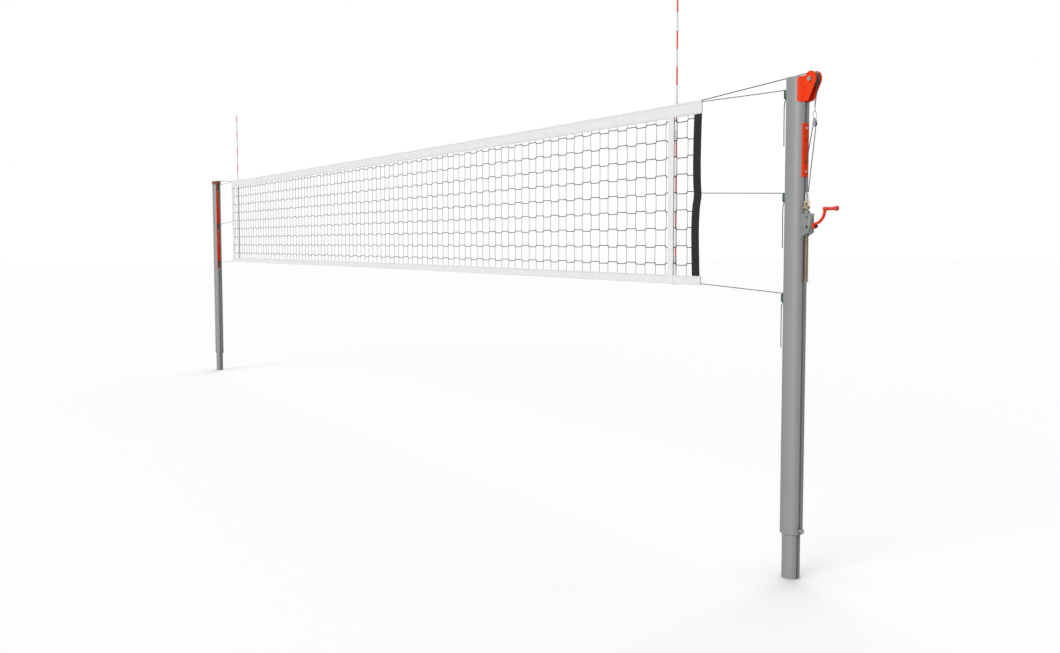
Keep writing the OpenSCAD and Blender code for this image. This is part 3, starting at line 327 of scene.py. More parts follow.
FAR_STRAP = cloth("white_webbing", rgb(232, 232, 232), rgb(220, 220, 220), thread=WHITE_THREAD, **WEBBING)
BRIGHT = plated("bright_zinc", rgb(216, 218, 219), rgb(240, 241, 241), 0.3, 0.5)
CLIP = moulded("clip_plastic", rgb(206, 210, 210), rgb(190, 195, 196), 0.4)


def dress_cad_nodes():
    """Gives every CAD node the procedural material of its slot in the record."""
    for sub in frame["record"]["subparts"]:
        node = NODES[sub["node"]]
        look = LOOKS[sub["material_slot"]]
        if node.material_slots:
            for s in node.material_slots:
                s.material = look
        else:
            node.data.materials.append(look)


dress_cad_nodes()


def soften(name, width, angle=35):
    """Rounds the hard edges of a CAD node with modifiers, which leave its mesh as it is."""
    node = NODES[name]
    weld = node.modifiers.new("weld", "WELD")
    weld.merge_threshold = 0.000005
    bevel = node.modifiers.new("bevel", "BEVEL")
    bevel.width, bevel.segments = width, 2
    bevel.limit_method, bevel.angle_limit = "ANGLE", math.radians(angle)
    bevel.use_clamp_overlap = True
    bevel.harden_normals = True


# Width of the rounded edges, in millimetres
SOFT_EDGES = {
    "pulley_head": 1.2, "gearbox_housing": 1.6, "gearbox_cap": 0.6, "crank_arm": 1.5, "hook_rail": 0.8,
    "near_net_rail": 0.8, "far_net_rail": 0.8, "far_head_cap": 1.2, "near_top_cap": 0.8, "tackle_block": 0.4,
    "near_cleats": 1.2, "far_cleats": 1.2, "near_outer_post": 0.4, "far_outer_post": 0.4,
}  # fmt: skip
for soft_node, soft_width in SOFT_EDGES.items():
    soften(soft_node, soft_width * MM)


# ---------- mesh building ----------


def unit(v):
    v = np.asarray(v, float)
    return v / np.linalg.norm(v, axis=-1, keepdims=True)


def frames_along(points, side):
    """A pair of unit vectors across the line at each point. side stays out of line with it."""
    points = np.asarray(points, float)
    ahead = np.vstack([points[1:], points[-1:]])
    behind = np.vstack([points[:1], points[:-1]])
    t = unit(ahead - behind)
    u = unit(np.cross(np.broadcast_to(side, t.shape), t))
    return u, np.cross(t, u)


def lengths_along(points):
    steps = np.linalg.norm(np.diff(np.asarray(points, float), axis=0), axis=1)
    return np.concatenate([[0.0], np.cumsum(steps)])


class Soup:
    """Collects vertices, faces and UVs, and makes one object of them."""

    def __init__(self):
        self.points, self.faces, self.uvs, self.count = [], [], [], 0

    def rings(self, rings, along, caps=True):
        """rings is an array of (ring, corner, xyz). UV is around and along."""
        n, s, _ = rings.shape
        base = self.count
        self.points.append(rings.reshape(-1, 3))
        self.count += n * s
        turn = np.linspace(0, 1, s + 1)
        for i in range(n - 1):
            for k in range(s):
                e = (k + 1) % s
                a, b = base + i * s, base + (i + 1) * s
                self.faces.append((a + k, a + e, b + e, b + k))
                self.uvs += [(turn[k], along[i]), (turn[k + 1], along[i])]
                self.uvs += [(turn[k + 1], along[i + 1]), (turn[k], along[i + 1])]
        if caps:
            first = list(range(base, base + s))[::-1]
            last = list(range(base + (n - 1) * s, base + n * s))
            for cap, at in ((first, along[0]), (last, along[-1])):
                self.faces.append(tuple(cap))
                self.uvs += [(0.5, at)] * s

    def tube(self, points, radius, sides=8, side=(0, 1, 0), caps=True):
        """A round tube along points, with one radius or one for each point."""
        points = np.asarray(points, float)
        u, v = frames_along(points, side)
        a = 2 * math.pi * (np.arange(sides) + 0.5) / sides
        r = np.broadcast_to(np.asarray(radius, float), len(points))[:, None, None]
        cos, sin = np.cos(a)[None, :, None], np.sin(a)[None, :, None]
        rings = points[:, None] + r * (cos * u[:, None] + sin * v[:, None])
        self.rings(rings, lengths_along(points), caps=caps)

    def strands(self, points, diameter, count=6, lay=None, side=(0, 1, 0), sides=6):
        """A laid rope: a core, with strands wound round it."""
        lay = lay or 6.5 * diameter
        points = resample(points, lay / 11)
        u, v = frames_along(points, side)
        s = lengths_along(points)
        wire = diameter / 3
        self.tube(points, wire / 2, 6, side)
        for k in range(count):
            a = 2 * math.pi * (s / lay + k / count)
            offset = (diameter - wire) / 2 * (np.cos(a)[:, None] * u + np.sin(a)[:, None] * v)
            self.tube(points + offset, wire / 2 * 1.06, sides, side)

    def strip(self, points, across, width, thick, crown=0.0):
        """A flat strap along points. UV is along and across, both in metres."""
        points = np.asarray(points, float)
        across = unit(across)
        ahead = np.vstack([points[1:], points[-1:]])
        behind = np.vstack([points[:1], points[:-1]])
        normal = unit(np.cross(ahead - behind, np.broadcast_to(across, points.shape)))
        steps = np.linspace(-0.5, 0.5, 13)
        half = thick / 2 + crown * (1 - (2 * steps) ** 2)
        edge = [(-0.5 * width, 0.0)]
        top = [(w * width * 0.985, h) for w, h in zip(steps, half)]
        section = edge + top + [(0.5 * width, 0.0)] + [(w, -h) for w, h in reversed(top)]
        section = np.array(section)
        rings = points[:, None] + section[None, :, :1] * across + section[None, :, 1:] * normal[:, None]
        n, s, _ = rings.shape
        base = self.count
        self.points.append(rings.reshape(-1, 3))
        self.count += n * s
        along = lengths_along(points)
        place = section[:, 0] + width / 2
        for i in range(n - 1):
            for k in range(s):
                e = (k + 1) % s
                a, b = base + i * s, base + (i + 1) * s
                self.faces.append((a + k, a + e, b + e, b + k))
                self.uvs += [(along[i], place[k]), (along[i], place[e])]
                self.uvs += [(along[i + 1], place[e]), (along[i + 1], place[k])]
        for at, order, row in ((0, 1, along[0]), (n - 1, -1, along[-1])):
            ring = list(range(base + at * s, base + (at + 1) * s))[::order]
            self.faces.append(tuple(ring))
            self.uvs += [(row, place[k]) for k in list(range(s))[::order]]

    def build(self, name, body, look, slot, replaces=()):
        mesh = bpy.data.meshes.new(name)
        mesh.from_pydata(np.vstack(self.points).tolist(), [], self.faces)
        layer = mesh.uv_layers.new(name="UVMap")
        layer.data.foreach_set("uv", np.asarray(self.uvs, np.float32).ravel())
        mesh.polygons.foreach_set("use_smooth", [True] * len(mesh.polygons))
        mesh.update()
        mesh.validate()
        made = bpy.data.objects.new(name, mesh)
        bpy.context.scene.collection.objects.link(made)
        mesh.materials.append(look)
        if body:
            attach(made, body)
        if replaces:
            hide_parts(*replaces)
        return made


def split_edges(made, angle):
    """Keeps the edges that are sharper than an angle in degrees crisp."""
    made.modifiers.new("edges", "EDGE_SPLIT").split_angle = math.radians(angle)


def resample(points, step):
    """The same line with its points at even distances."""
    points = np.asarray(points, float)
    s = lengths_along(points)
    n = max(2, int(round(s[-1] / step)) + 1)
    at = np.linspace(0, s[-1], n)
    return np.stack([np.interp(at, s, points[:, k]) for k in range(3)], axis=1)


def smooth_line(points, per=4):
    """A Catmull-Rom curve through points."""
    p = np.asarray(points, float)
    p = np.vstack([2 * p[0] - p[1], p, 2 * p[-1] - p[-2]])
    out = []
    for i in range(1, len(p) - 2):
        for t in np.arange(per) / per:
            a, b, c, d = p[i - 1 : i + 3]
            square, cube = 2 * a - 5 * b + 4 * c - d, 3 * b - a - 3 * c + d
            out.append(0.5 * (2 * b + (c - a) * t + square * t**2 + cube * t**3))
    out.append(p[-2])
    return np.array(out)


def far_side(points):
    """The same points at the far post, mirrored about the net's middle."""
    points = np.array(points, float)
    points[..., 0] = -POST_GAP - points[..., 0]
    return points


def arc(centre, radius, start, stop, n):
    """Points [x, 0, z] on a circle in the net's plane, with angles in degrees."""
    a = np.radians(np.linspace(start, stop, n + 1))
    return np.stack([centre[0] + radius * np.cos(a), 0 * a, centre[1] + radius * np.sin(a)], axis=1)


def touch_angle(centre, radius, point, side):
    """The angle at which a line from point touches the circle."""
    dx, dz = point[0] - centre[0], point[1] - centre[1]
    return math.degrees(math.atan2(dz, dx)) + side * math.degrees(math.acos(radius / math.hypot(dx, dz)))


# ---------- the net's strings ----------

GAP_X = 0.09941
FIRST_X = -0.778
COLUMNS = 95
FIRST_ROW = 2.3412
GAP_Z = 0.0993
ROWS = 9
STEP_Z = 0.005  # half the height and half the width of a sloping joint
STEP_X = 0.004
STRING_R = 0.0025
UPRIGHT_R = 0.0017
IN_TAPE = 0.018  # how far the uprights reach into the tapes
MIDDLE_X = -POST_GAP / 2
HALF_NET = 4.75


def top_lift(x):
    """How far the taut cable lifts the net's upper edge near its ends."""
    return 0.006 * ((x - MIDDLE_X) / HALF_NET) ** 4


def low_lift(x):
    """How far the net's own pull lifts the lower tape towards the middle."""
    return 0.004 + 0.009 * (1 - ((x - MIDDLE_X) / HALF_NET) ** 2)


def joint_ends(k, j):
    """Upper and lower end of the sloping joint where column line k crosses row j."""
    x = FIRST_X - GAP_X * k
    z = FIRST_ROW - GAP_Z * j
    lean = STEP_X if (k + j) % 2 else -STEP_X
    return np.array([x + lean, 0, z + STEP_Z]), np.array([x - lean, 0, z - STEP_Z])


def add_net():
    """Level rows, straight uprights, and at each crossing a sloping joint a little thicker than both."""
    rng = np.random.default_rng(7)
    uprights, strings, joints = Soup(), Soup(), Soup()
    for k in range(COLUMNS + 1):
        x = FIRST_X - GAP_X * k
        line = [[x, 0, TOP_EDGE + IN_TAPE]]
        for j in range(ROWS):
            upper, lower = joint_ends(k, j)
            line += [upper, lower]
            axis = unit(lower - upper)
            length = np.linalg.norm(lower - upper)
            reach = (-0.0035, -0.001, 0.5 * length, length + 0.001, length + 0.0035)
            size = np.array([0.5, 1.0, 1.1, 1.0, 0.5]) * STRING_R
            joints.tube([upper + axis * r for r in reach], size, 6)
        line.append([x, 0, LOW_EDGE - IN_TAPE + low_lift(x)])
        line = np.array(line)
        line[:, 1] += rng.uniform(-1, 1, len(line)) * 0.0004
        uprights.tube(line, UPRIGHT_R, 6)
    for j in range(ROWS):
        line = []
        for k in range(COLUMNS + 1):
            upper, lower = joint_ends(k, j)
            near, far = (upper, lower) if (k + j) % 2 else (lower, upper)
            line += [near, far]
            if k < COLUMNS:
                after = joint_ends(k + 1, j)
                following = after[0] if (k + 1 + j) % 2 else after[1]
                droop = np.array([0, 0, rng.uniform(0.0006, 0.0018)])
                line.append((far + following) / 2 - droop)
        strings.tube(np.array(line), STRING_R, 6)
    # The rows take the twine painted dark as shade, and the uprights its copy painted lighter as light
    look = LOOKS["netting"]
    strings.build("net_strings", "near_upper", look, "netting", replaces=["net_mesh"])
    uprights.build("net_uprights", "near_upper", UPRIGHT_PAINTED_LIT, "netting", replaces=["net_mesh"])
    joints.build("net_joints", "near_upper", look, "netting")


# ---------- tapes, straps and bands ----------


def ripple(x, seed):
    """A small even waviness along the net."""
    fine = 0.35 * math.sin(31.0 * x + 3 * seed)
    return math.sin(5.1 * x + seed) + 0.6 * math.sin(12.7 * x + 2 * seed) + fine


def bow(radius, height, start, stop, count):
    """Points (y, z) on a circle in the tape's section, with angles in degrees."""
    angles = np.radians(np.linspace(start, stop, count))
    return [(radius * math.cos(a), height + radius * math.sin(a)) for a in angles]


def tape_section(top):
    """Outline of the folded tape in y and z, outside first and then back along the inside."""
    inner = TAPE_HALF - TAPE_T
    if top:
        fold = bow(HEM_R, NET_TOP, -42, 222, 19)
        lining = bow(CABLE_D / 2 + 0.0003, NET_TOP, 226, -46, 17)
        levels = np.linspace(TOP_EDGE, NET_TOP - 0.008, 6)
        back = [(TAPE_HALF, z) for z in levels]
        front = [(-TAPE_HALF, z) for z in levels[::-1]]
        inside = [(-inner, z) for z in levels] + lining + [(inner, z) for z in levels[::-1]]
        return np.array(back + fold + front + inside)
    levels = np.linspace(LOW_EDGE, NET_BOTTOM + 0.004, 5)
    bend = bow(TAPE_HALF, NET_BOTTOM + TAPE_HALF, 0, -180, 9)
    lining = bow(inner, NET_BOTTOM + TAPE_HALF, -180, 0, 7)
    back = [(TAPE_HALF, z) for z in levels]
    front = [(-TAPE_HALF, z) for z in levels[::-1]]
    inside = [(-inner, z) for z in levels] + lining + [(inner, z) for z in levels[::-1]]
    return np.array(back + bend + front + inside)


def add_tape(name, top):
    """A folded tape with a faint sway along its free edge and a slight pull at each upright string."""
    section = tape_section(top)
    edge, height = (TOP_EDGE, 0.070) if top else (LOW_EDGE, -0.050)
    lift = top_lift if top else low_lift
    runs = np.linspace(NET_END, NET_FAR, 384)
    soup = Soup()
    rings = np.zeros((len(runs), len(section), 3))
    for i, x in enumerate(runs):
        share = np.clip((section[:, 1] - edge) / height, 0, 1)
        sway = 0.00035 * ripple(x, 1.0 if top else 4.0) * (1 - share)
        pull = math.cos(2 * math.pi * (x - FIRST_X) / GAP_X)
        rings[i, :, 0] = x
        rings[i, :, 1] = section[:, 0] + sway
        rings[i, :, 2] = section[:, 1] + 0.0004 * pull * (1 - share) ** 3 + lift(x)
    n, s, _ = rings.shape
    soup.points.append(rings.reshape(-1, 3))
    soup.count = n * s
    across = np.abs(section[:, 1] - edge)
    for i in range(n - 1):
        for k in range(s):
            e = (k + 1) % s
            a, b = i * s, (i + 1) * s
            soup.faces.append((a + k, a + e, b + e, b + k))
            near, far = -runs[i], -runs[i + 1]
            soup.uvs += [(near, across[k]), (near, across[e]), (far, across[e]), (far, across[k])]
    for i, order in ((0, -1), (n - 1, 1)):
        ring = list(range(s))[::order]
        soup.faces.append(tuple(i * s + k for k in ring))
        soup.uvs += [(-runs[i], across[k]) for k in ring]
    node = "top_tape" if top else "bottom_tape"
    made = soup.build(name, "near_upper", LOOKS["white_tape"], "white_tape", replaces=[node])
    split_edges(made, 50)
    return made


STRAP_WIDTH = 0.065


def strap_line(x):
    """Middle line of the wavy strap between its ties."""
    low, high = LOW_EDGE + low_lift(NET_END), TOP_EDGE + top_lift(NET_END)
    share = (0, 0.15, 0.30, 0.42, 0.50, 0.58, 0.70, 0.85, 1)
    back = (12, 18, 21, 14, 1, 7, 10, 8, 3)  # in millimetres
    inset = STRAP_WIDTH / 2
    return smooth_line([(x - inset - b * MM, 0, low + t * (high - low)) for t, b in zip(share, back)], 8)


def add_straps():
    for name, look, slot, far in (
        ("strap_webbing", LOOKS["black_strap"], "black_strap", False),
        ("far_strap_webbing", FAR_STRAP, "white_tape", True),
    ):
        line = strap_line(NET_END)
        soup = Soup()
        soup.strip(far_side(line) if far else line, (1, 0, 0), STRAP_WIDTH, 0.0046, 0.0007)
        made = soup.build(name, "near_upper", look, slot, replaces=["far_strap" if far else "near_strap"])
        split_edges(made, 50)


BAND_X = -1.025
BAND_WIDTH = 0.05


def band_path():
    """The side-line tape runs down the front of the net, under the bottom tape and up the back."""
    t = TAPE_T / 2
    on_net, on_tape = STRING_R + 0.0004 + t, TAPE_HALF + 0.0004 + t
    edge, bottom = LOW_EDGE + low_lift(BAND_X), NET_BOTTOM + low_lift(BAND_X)
    front = [(on_tape, TOP_EDGE + 0.026), (on_tape, TOP_EDGE + 0.004), (on_tape - 0.0002, TOP_EDGE)]
    front += [(on_net + 0.0003, TOP_EDGE - 0.006), (on_net, TOP_EDGE - 0.014)]
    front += [(on_net, z) for z in np.linspace(TOP_EDGE - 0.06, edge + 0.06, 18)]
    front += [(on_net, edge + 0.014), (on_net + 0.0003, edge + 0.006), (on_tape - 0.0002, edge)]
    front += [(on_tape, edge - 0.004), (on_tape, bottom + 0.003)]
    turn = bow(on_tape, bottom + 0.003, -12, -168, 9)
    loop = front + turn + [(-y, z) for y, z in reversed(front)]
    return np.array([(0, -y, z) for y, z in loop])


def add_bands():
    for name, far in (("side_band", False), ("far_side_band", True)):
        path = band_path() + np.array([BAND_X, 0, 0])
        soup = Soup()
        soup.strip(far_side(path) if far else path, (1, 0, 0), BAND_WIDTH, TAPE_T * 0.8)
        made = soup.build(name, "near_upper", BAND, "white_tape", replaces=["side_bands"])
        split_edges(made, 50)


# ---------- antennas ----------

ANTENNA_X = -0.994
ANTENNA_Y = 0.0096
ANTENNA_R = 0.005


def add_antennas():
    """Two striped rods with rounded ends, and two clips on each."""
    soup = Soup()
    clips = Soup()
    for far in (False, True):
        x = -POST_GAP - ANTENNA_X if far else ANTENNA_X
        stops = [(NET_BOTTOM, 0.70), (NET_BOTTOM + 0.0006, 0.9), (NET_BOTTOM + 0.002, 1.0)]
        z = FIRST_STRIPE
        while z < ANTENNA_TOP - 0.005:
            stops += [(z - 0.0006, 1.0), (z + 0.0006, 1.0)]
            z += STRIPE
        stops += [(ANTENNA_TOP - h, r) for h, r in ((0.0038, 1.0), (0.0016, 0.92), (0.0005, 0.74), (0, 0.42))]
        line = [(x, ANTENNA_Y, s[0]) for s in stops]
        soup.tube(line, [ANTENNA_R * s[1] for s in stops], 20)
        for low in (LOW_EDGE + 0.070, TOP_EDGE - 0.110):
            add_clip(clips, x, low, far)
    soup.build("antenna_rods", "near_upper", LOOKS["antenna_rod"], "antenna_rod", replaces=["antennas"])
    split_edges(clips.build("antenna_clips", "near_upper", CLIP, "white_tape"), 40)


def add_clip(soup, x, low, far):
    """A sleeve round the rod with a foot sewn to the band."""
    outer = [(0.0, 0.0064), (0.0012, 0.0072), (0.0388, 0.0072), (0.04, 0.0064)]
    inner = [(0.04, 0.0051), (0.0, 0.0051)]
    a = 2 * math.pi * np.arange(24) / 24
    loop = outer + inner + outer[:1]
    circle = [(math.cos(t), math.sin(t)) for t in a]
    rings = np.array([[(x + r * c, ANTENNA_Y + r * s, low + h) for c, s in circle] for h, r in loop])
    soup.rings(rings, [h for h, _ in loop], caps=False)
    foot_y = STRING_R + TAPE_T + 0.0021
    step = 1 if far else -1
    path = [(x + step * 0.011, foot_y, low + 0.0002), (x + step * 0.011, foot_y, low + 0.0398)]
    soup.strip(path, (1, 0, 0), 0.022, 0.0022)


# ---------- cable, rope and cords ----------

PULLEY = (0.106, 2.446)
CABLE_R = 0.0335
CABLE_IN = 0.030  # how far the laid strands reach into the top tape
CORE_IN = 0.029  # where the plain wire inside the tape begins
BLOCK = (0.1205, 2.232)
ROPE_R = 0.0095
THIMBLE_TOP = (0.119, 2.295)
FERRULE = 0.016
ROPE_FOOT = (0.084, 1.910)
ANCHOR_Z = 2.049
ANCHOR_BEND = (0.068, 2.057)
SADDLE = (-11.050, 2.458)
SADDLE_R = 0.0168


def add_cable():
    """The laid cable over the head pulley and the far saddle, and its drop to the tackle block."""
    high = NET_TOP + top_lift(NET_END)
    on = 360 + touch_angle(PULLEY, CABLE_R, (NET_END, high), -1)
    off = touch_angle(PULLEY, CABLE_R, (THIMBLE_TOP[0], THIMBLE_TOP[1] + FERRULE), 1)
    near = np.vstack(
        [[[NET_END - CABLE_IN, 0, high], [NET_END + 0.002, 0, high]], arc(PULLEY, CABLE_R, on, off, 24)]
    )
    far = np.vstack(
        [
            [[SADDLE[0] - SADDLE_R, 0, SADDLE[1] - 0.001]],
            arc(SADDLE, SADDLE_R, 180, 90, 10),
            [[-POST_GAP + 0.05, 0, SADDLE[1] + SADDLE_R]],
            [[NET_FAR - 0.002, 0, high], [NET_FAR + CABLE_IN, 0, high]],
        ]
    )
    soup = Soup()
    soup.strands(near, CABLE_D)
    soup.strands(far, CABLE_D)
    in_tape = np.linspace(NET_END - CORE_IN, NET_FAR + CORE_IN, 41)
    soup.tube([(x, 0, NET_TOP + top_lift(x)) for x in in_tape], CABLE_D / 2, 12)
    soup.build("cable_strands", "near_upper", LOOKS["cable"], "cable", replaces=["net_cable"])

    a = np.radians(off)
    start = (PULLEY[0] + CABLE_R * math.cos(a), 0, PULLEY[1] + CABLE_R * math.sin(a))
    end = (THIMBLE_TOP[0], 0, THIMBLE_TOP[1] + FERRULE + 0.0006)
    soup = Soup()
    soup.strands([start, end], CABLE_D)
    drop = soup.build("cable_drop_strands", None, LOOKS["cable"], "cable", replaces=["cable_drop"])
    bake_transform(drop)


def add_rope():
    """The tackle's rope: fixed at the hook rail, over the sheave, and down to its thimble."""
    turn_a = 360 + touch_angle(BLOCK, ROPE_R, ANCHOR_BEND, -1)
    turn_b = touch_angle(BLOCK, ROPE_R, ROPE_FOOT, 1)
    over = arc(BLOCK, ROPE_R, turn_a, turn_b, 24)
    soup = Soup()
    soup.strands(over, ROPE_D, lay=0.024)
    soup.build("rope_turn_strands", "block", LOOKS["rope"], "rope", replaces=["rope_turn"])

    start = over[0] + 0.0006 * unit(np.array([ANCHOR_BEND[0], 0, ANCHOR_BEND[1]]) - over[0])
    fixed = [(0.0645, 0, ANCHOR_Z + 0.0025), (0.061, 0, ANCHOR_Z), (0.057, 0, ANCHOR_Z)]
    line = np.vstack([[start], [(ANCHOR_BEND[0], 0, ANCHOR_BEND[1])], fixed])
    soup = Soup()
    soup.strands(line, ROPE_D)
    fall = soup.build("rope_fall_a_strands", None, LOOKS["rope"], "rope", replaces=["rope_fall_a"])
    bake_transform(fall)

    foot = (ROPE_FOOT[0], 0, ROPE_FOOT[1] + 0.0006)
    soup = Soup()
    soup.strands([over[-1], foot], ROPE_D)
    fall = soup.build("rope_fall_b_strands", None, LOOKS["rope"], "rope", replaces=["rope_fall_b"])
    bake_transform(fall)


def tie_line(i):
    """A taut cord from the net's edge over its cleat's upper horn."""
    centre = (HORN_X, CLEAT_Z[i] + HORN_UP)
    radius = HORN_R + CORD_D / 2 + 0.0003
    over = touch_angle(centre, radius, (NET_END, TIE_Z[i]), -1)
    line = [[(NET_END, 0, TIE_Z[i])], arc(centre, radius, over, 0, 10)]
    return np.vstack(line)


def neck_turns(i):
    """Turns of the cord round the cleat's neck, between its base and its head."""
    half_y, half_z = (half + CORD_D / 2 + 0.0004 for half in NECK_HALF)
    corner = 0.004
    outline = []
    for cy, cz, first in ((1, 1, 0), (-1, 1, 90), (-1, -1, 180), (1, -1, 270)):
        for a in np.radians(np.linspace(first, first + 90, 5)):
            y, z = cy * (half_y - corner), cz * (half_z - corner)
            outline.append((y + corner * math.cos(a), z + corner * math.sin(a)))
    start, pitch, turns, first = HORN_X + 0.0065, 0.0046, 2.5, 3
    count = len(outline)
    line = []
    for k in range(int(turns * count) + 1):
        y, z = outline[(k + first) % count]
        line.append((start + pitch * k / count, y, CLEAT_Z[i] + z))
    return np.array(line)


def add_tie_cords():
    soup = Soup()
    for i in range(3):
        taut = tie_line(i)
        wound = neck_turns(i)
        lead = np.array([taut[-1] * 0.5 + wound[0] * 0.5])
        line = np.vstack([resample(taut[:2], 0.04), taut[2:], lead, wound])
        for points in (line, far_side(line)):
            soup.tube(points, CORD_D / 2, 10, side=(0.3, 1, 0.05))
    soup.build("tie_cords", "near_upper", LOOKS["green_cord"], "green_cord", replaces=["net_cords"])


TAIL_TURN = math.radians(138)
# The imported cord's route in millimetres: across, towards the post, and up from the cleat's middle
TAIL_ROUTE = [
    (-5.5, 0, -20.4), (-5.8, -5, -36), (-6, -9, -60), (-6.8, -9, -160), (-8.4, -8, -228),
    (-5.9, -8, -243), (0, -8, -248), (5.9, -8, -243), (8.4, -8, -228), (6.8, -9, -160),
    (6, -9, -60), (5.8, -5, -36), (5.5, 0, -20.4),
]  # fmt: skip


def add_tails():
    """The spare end of each cord hangs below its cleat in one long loop."""
    across = np.array([math.cos(TAIL_TURN), math.sin(TAIL_TURN), 0])
    for i, z in enumerate(CLEAT_Z):
        route = [np.array([HORN_X + q[1] * MM, 0, z + q[2] * MM]) + q[0] * MM * across for q in TAIL_ROUTE]
        line = smooth_line(route, 3)
        for far in (False, True):
            points = far_side(line) if far else line
            side = np.cross(across * (-1 if far else 1), (0, 0, 1))
            soup = Soup()
            soup.tube(points, CORD_D / 2, 10, side=side * (1, -1, 1) if far else side)
            name = f"{'far' if far else 'near'}_cord_tail_{i + 1}"
            made = soup.build(name, "near_upper", LOOKS["green_cord"], "green_cord", replaces=["cord_tails"])


# ---------- the spindle's thread ----------


def add_spindle():
    """Two-start trapezoidal thread with a lead of 8 mm, and a flat tongue at the top for the shackle."""
    lead, starts, outer, root, flat = 0.008, 2, 0.010, 0.0082, 0.0065
    low, tongue, top, axis_x = 1.482, 1.827, 1.845, 0.077
    pitch = lead / starts
    a = 2 * math.pi * np.arange(36) / 36
    levels = np.concatenate([[low, low + 0.0006], np.arange(low + 0.0012, tongue, pitch / 8), [tongue]])
    rings = []
    for z in levels:
        place = ((z - low) / pitch - a / (2 * math.pi) * starts) % 1.0
        # Flat crests and roots, with sloping flanks between them
        height = np.clip(2.4 * np.abs(2 * place - 1) - 0.7, 0, 1)
        fade = np.clip(min(z - low, tongue - z) / 0.004, 0, 1)
        r = root + (outer - root) * height * fade
        rings.append(np.stack([axis_x + r * np.cos(a), r * np.sin(a), np.full(len(a), z)], axis=1))
    levels = levels.tolist()
    for z, r in ((tongue + 0.0001, outer), (top - 0.0008, outer), (top, outer - 0.0008)):
        x = np.clip(r * np.cos(a), -flat, flat)
        rings.append(np.stack([axis_x + x, r * np.sin(a), np.full(len(a), z)], axis=1))
        levels.append(z)
    soup = Soup()
    soup.rings(np.array(rings), levels)
    look = LOOKS["spindle_steel"]
    split_edges(soup.build("spindle_thread", "spindle", look, "spindle_steel", replaces=["spindle"]), 50)


# ---------- the rope's thimble ----------

THIMBLE_X = 0.077
THIMBLE_Z = (1.8611, 1.910)
THIMBLE_HALF = 0.0104
WALL = 0.0038


def add_thimble():
    """A flat ring on the shackle's bow, with the sleeve that grips the rope's end. It is 0.6 mm slimmer on
    each side than its solid, so that it clears the hook's lower screw when the spindle is fully up."""
    low, high = THIMBLE_Z
    middle = THIMBLE_HALF - WALL / 2
    bends = ((low + THIMBLE_HALF, 180, 360), (high - THIMBLE_HALF, 0, 180))
    path = np.vstack([arc((THIMBLE_X, z), 1.0, a, b, 16) - [[THIMBLE_X, 0, z]] for z, a, b in bends])
    centre = np.array([(THIMBLE_X, 0, z) for z, _, _ in bends for _ in range(17)])
    corner, rows = 0.0009, []
    for sy, sn, first in ((1, 1, 0), (-1, 1, 90), (-1, -1, 180), (1, -1, 270)):
        for t in np.radians(np.linspace(first, first + 90, 4)):
            y, n = sy * (0.0034 - corner), sn * (WALL / 2 - corner)
            rows.append((y + corner * math.cos(t), n + corner * math.sin(t)))
    rings = [[c + d * (middle + n) + [0, y, 0] for y, n in rows] for c, d in zip(centre, path)]
    rings = np.array(rings + rings[:1])
    soup = Soup()
    soup.rings(rings, lengths_along(rings[:, 0]), caps=False)
    x = ROPE_FOOT[0]
    sleeve = [(0.0, 0.8), (0.0005, 1.0), (0.0072, 1.0), (0.0078, 0.8)]
    soup.tube([(x, 0, high - 0.0075 + h) for h, _ in sleeve], [0.0033 * r for _, r in sleeve], 20)
    soup.build("thimble_ring", "spindle", BRIGHT, "steel", replaces=["rope_thimble"])


# ---------- screw heads ----------

HEAD_R = 5.3 * MM
NET_SCREWS = (1.322, 1.340, 1.817, 1.835, 2.320, 2.338)


def button_head(soup, x, z, side):
    """A domed head with a hexagon recess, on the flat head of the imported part's screw."""
    a = 2 * math.pi * np.arange(24) / 24
    hexagon = 2.3 * MM * math.cos(math.pi / 6) / np.cos((a % (math.pi / 3)) - math.pi / 6)
    dome = ((1, 0.0), (1, 0.5), (0.93, 1.0), (0.78, 1.4), (0.6, 1.6))
    levels = [(share * HEAD_R, h) for share, h in dome] + [(hexagon, 1.6), (hexagon, 0.2)]
    rings = [(np.full(24, x + side * h * MM), r * np.cos(a), z + r * np.sin(a)) for r, h in levels]
    rings = np.stack([np.stack(ring, axis=1) for ring in rings])
    soup.rings(rings if side > 0 else rings[:, ::-1], [0.001 * k for k in range(len(rings))])


def add_screw_heads():
    soup = Soup()
    for z in NET_SCREWS:
        button_head(soup, -0.066, z, -1)
        button_head(soup, -POST_GAP + 0.066, z, 1)
    split_edges(soup.build("screw_heads", "near_upper", LOOKS["steel"], "steel"), 40)


# ---------- stage ----------

SKY = 0.25
FLOOR_SHARE = 0.5
FLOOR_GLOW = 0.48
# How far the painted contact shadow dims the floor's glow at the feet
FOOT_SHADE = 0.32
SHADE_REACH = 0.40
FLOOR_BOUNCE = 0.6


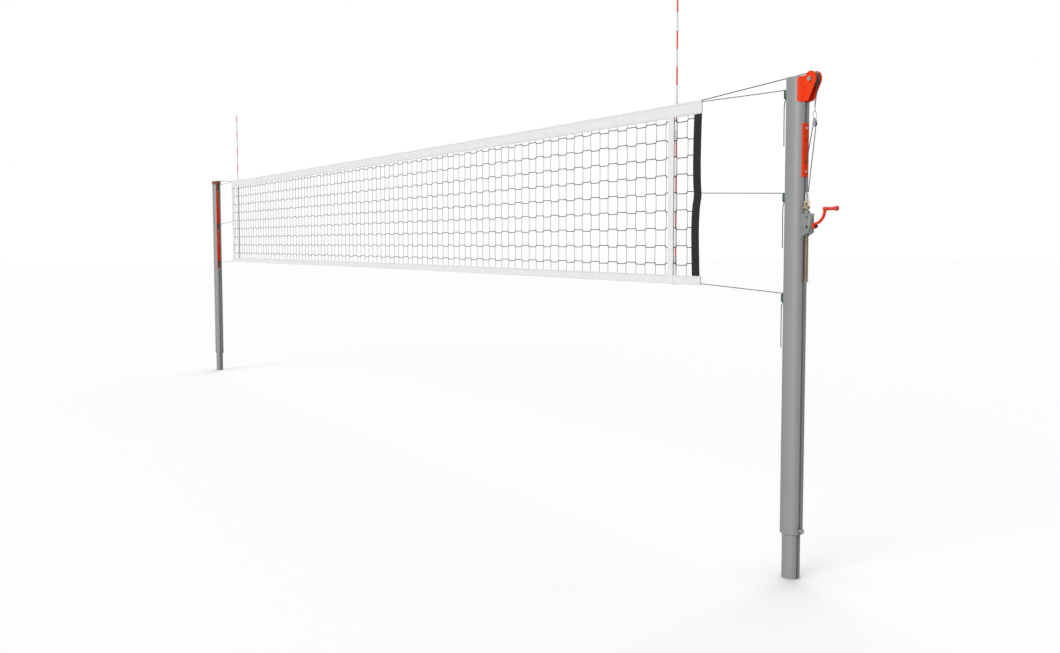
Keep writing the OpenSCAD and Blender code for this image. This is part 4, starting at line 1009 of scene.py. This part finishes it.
def add_stage():
    """A floor that shows as white to the camera, with the object's shadow, and a painted shade close to its
    feet, where ambient occlusion dims its glow.
    """
    floor_mesh = bpy.data.meshes.new("floor")
    r = 90.0
    floor_mesh.from_pydata([(-r, -r, 0), (r, -r, 0), (r, r, 0), (-r, r, 0)], [], [(0, 1, 2, 3)])
    floor = bpy.data.objects.new("floor", floor_mesh)
    bpy.context.scene.collection.objects.link(floor)
    m = bpy.data.materials.new("floor")
    m.use_nodes = True
    t = m.node_tree
    t.nodes.clear()
    kinds = ("OutputMaterial", "LightPath", "MixShader", "AddShader", "BsdfDiffuse")
    out, path, mix, both, shown = (t.nodes.new("ShaderNode" + kind) for kind in kinds)
    kinds = ("Emission", "BsdfDiffuse", "AmbientOcclusion", "MapRange")
    glow, plain, near, shade = (t.nodes.new("ShaderNode" + kind) for kind in kinds)
    # Ambient occlusion dims the floor's glow near the feet: a painted contact shadow
    near.samples = 12
    near.inputs["Distance"].default_value = SHADE_REACH
    shade.inputs[1].default_value, shade.inputs[2].default_value = 0.45, 1.0
    shade.inputs[3].default_value, shade.inputs[4].default_value = FLOOR_GLOW - FOOT_SHADE, FLOOR_GLOW
    shown.inputs["Color"].default_value = (FLOOR_SHARE, FLOOR_SHARE, FLOOR_SHARE, 1)
    plain.inputs["Color"].default_value = (FLOOR_BOUNCE, FLOOR_BOUNCE, FLOOR_BOUNCE, 1)
    for a, b in (
        (near.outputs["AO"], shade.inputs[0]),
        (shade.outputs[0], glow.inputs["Strength"]),
        (shown.outputs[0], both.inputs[0]),
        (glow.outputs[0], both.inputs[1]),
        (path.outputs["Is Camera Ray"], mix.inputs[0]),
        (plain.outputs[0], mix.inputs[1]),
        (both.outputs[0], mix.inputs[2]),
        (mix.outputs[0], out.inputs[0]),
    ):
        t.links.new(a, b)
    floor_mesh.materials.append(m)


def add_world():
    """White for the camera, mirrors and glass, and dimmer where it only lights the object."""
    world = bpy.data.worlds.new("studio")
    bpy.context.scene.world = world
    world.use_nodes = True
    t = world.node_tree
    kinds = ("LightPath", "Math", "Math", "MapRange")
    path, seen, mirrored, strength = (t.nodes.new("ShaderNode" + kind) for kind in kinds)
    seen.operation = "MAXIMUM"
    t.links.new(path.outputs["Is Camera Ray"], seen.inputs[0])
    t.links.new(path.outputs["Is Transmission Ray"], seen.inputs[1])
    mirrored.operation = "MAXIMUM"
    t.links.new(seen.outputs[0], mirrored.inputs[0])
    t.links.new(path.outputs["Is Glossy Ray"], mirrored.inputs[1])
    t.links.new(mirrored.outputs[0], strength.inputs[0])
    strength.inputs[3].default_value = SKY
    strength.inputs[4].default_value = 1.0
    t.links.new(strength.outputs[0], t.nodes["Background"].inputs["Strength"])
    t.nodes["Background"].inputs["Color"].default_value = (1, 1, 1, 1)


def add_sun(name, energy, direction, angle):
    data = bpy.data.lights.new(name, "SUN")
    data.energy, data.angle = energy, math.radians(angle)
    lamp = bpy.data.objects.new(name, data)
    lamp.rotation_euler = Vector(direction).to_track_quat("-Z", "Y").to_euler()
    bpy.context.scene.collection.objects.link(lamp)


def add_lights():
    add_world()
    add_sun("key", 2.35, (-0.37, 0.92, -0.42), 40)
    add_sun("top", 1.9, (0.50, -0.45, -0.80), 40)


add_tails()
add_net()
add_tape("top_tape_cloth", True)
add_tape("bottom_tape_cloth", False)
add_straps()
add_bands()
add_antennas()
add_cable()
add_rope()
add_tie_cords()
add_spindle()
add_thimble()
add_screw_heads()
add_stage()
add_lights()
bpy.context.scene.view_settings.view_transform = "Standard"
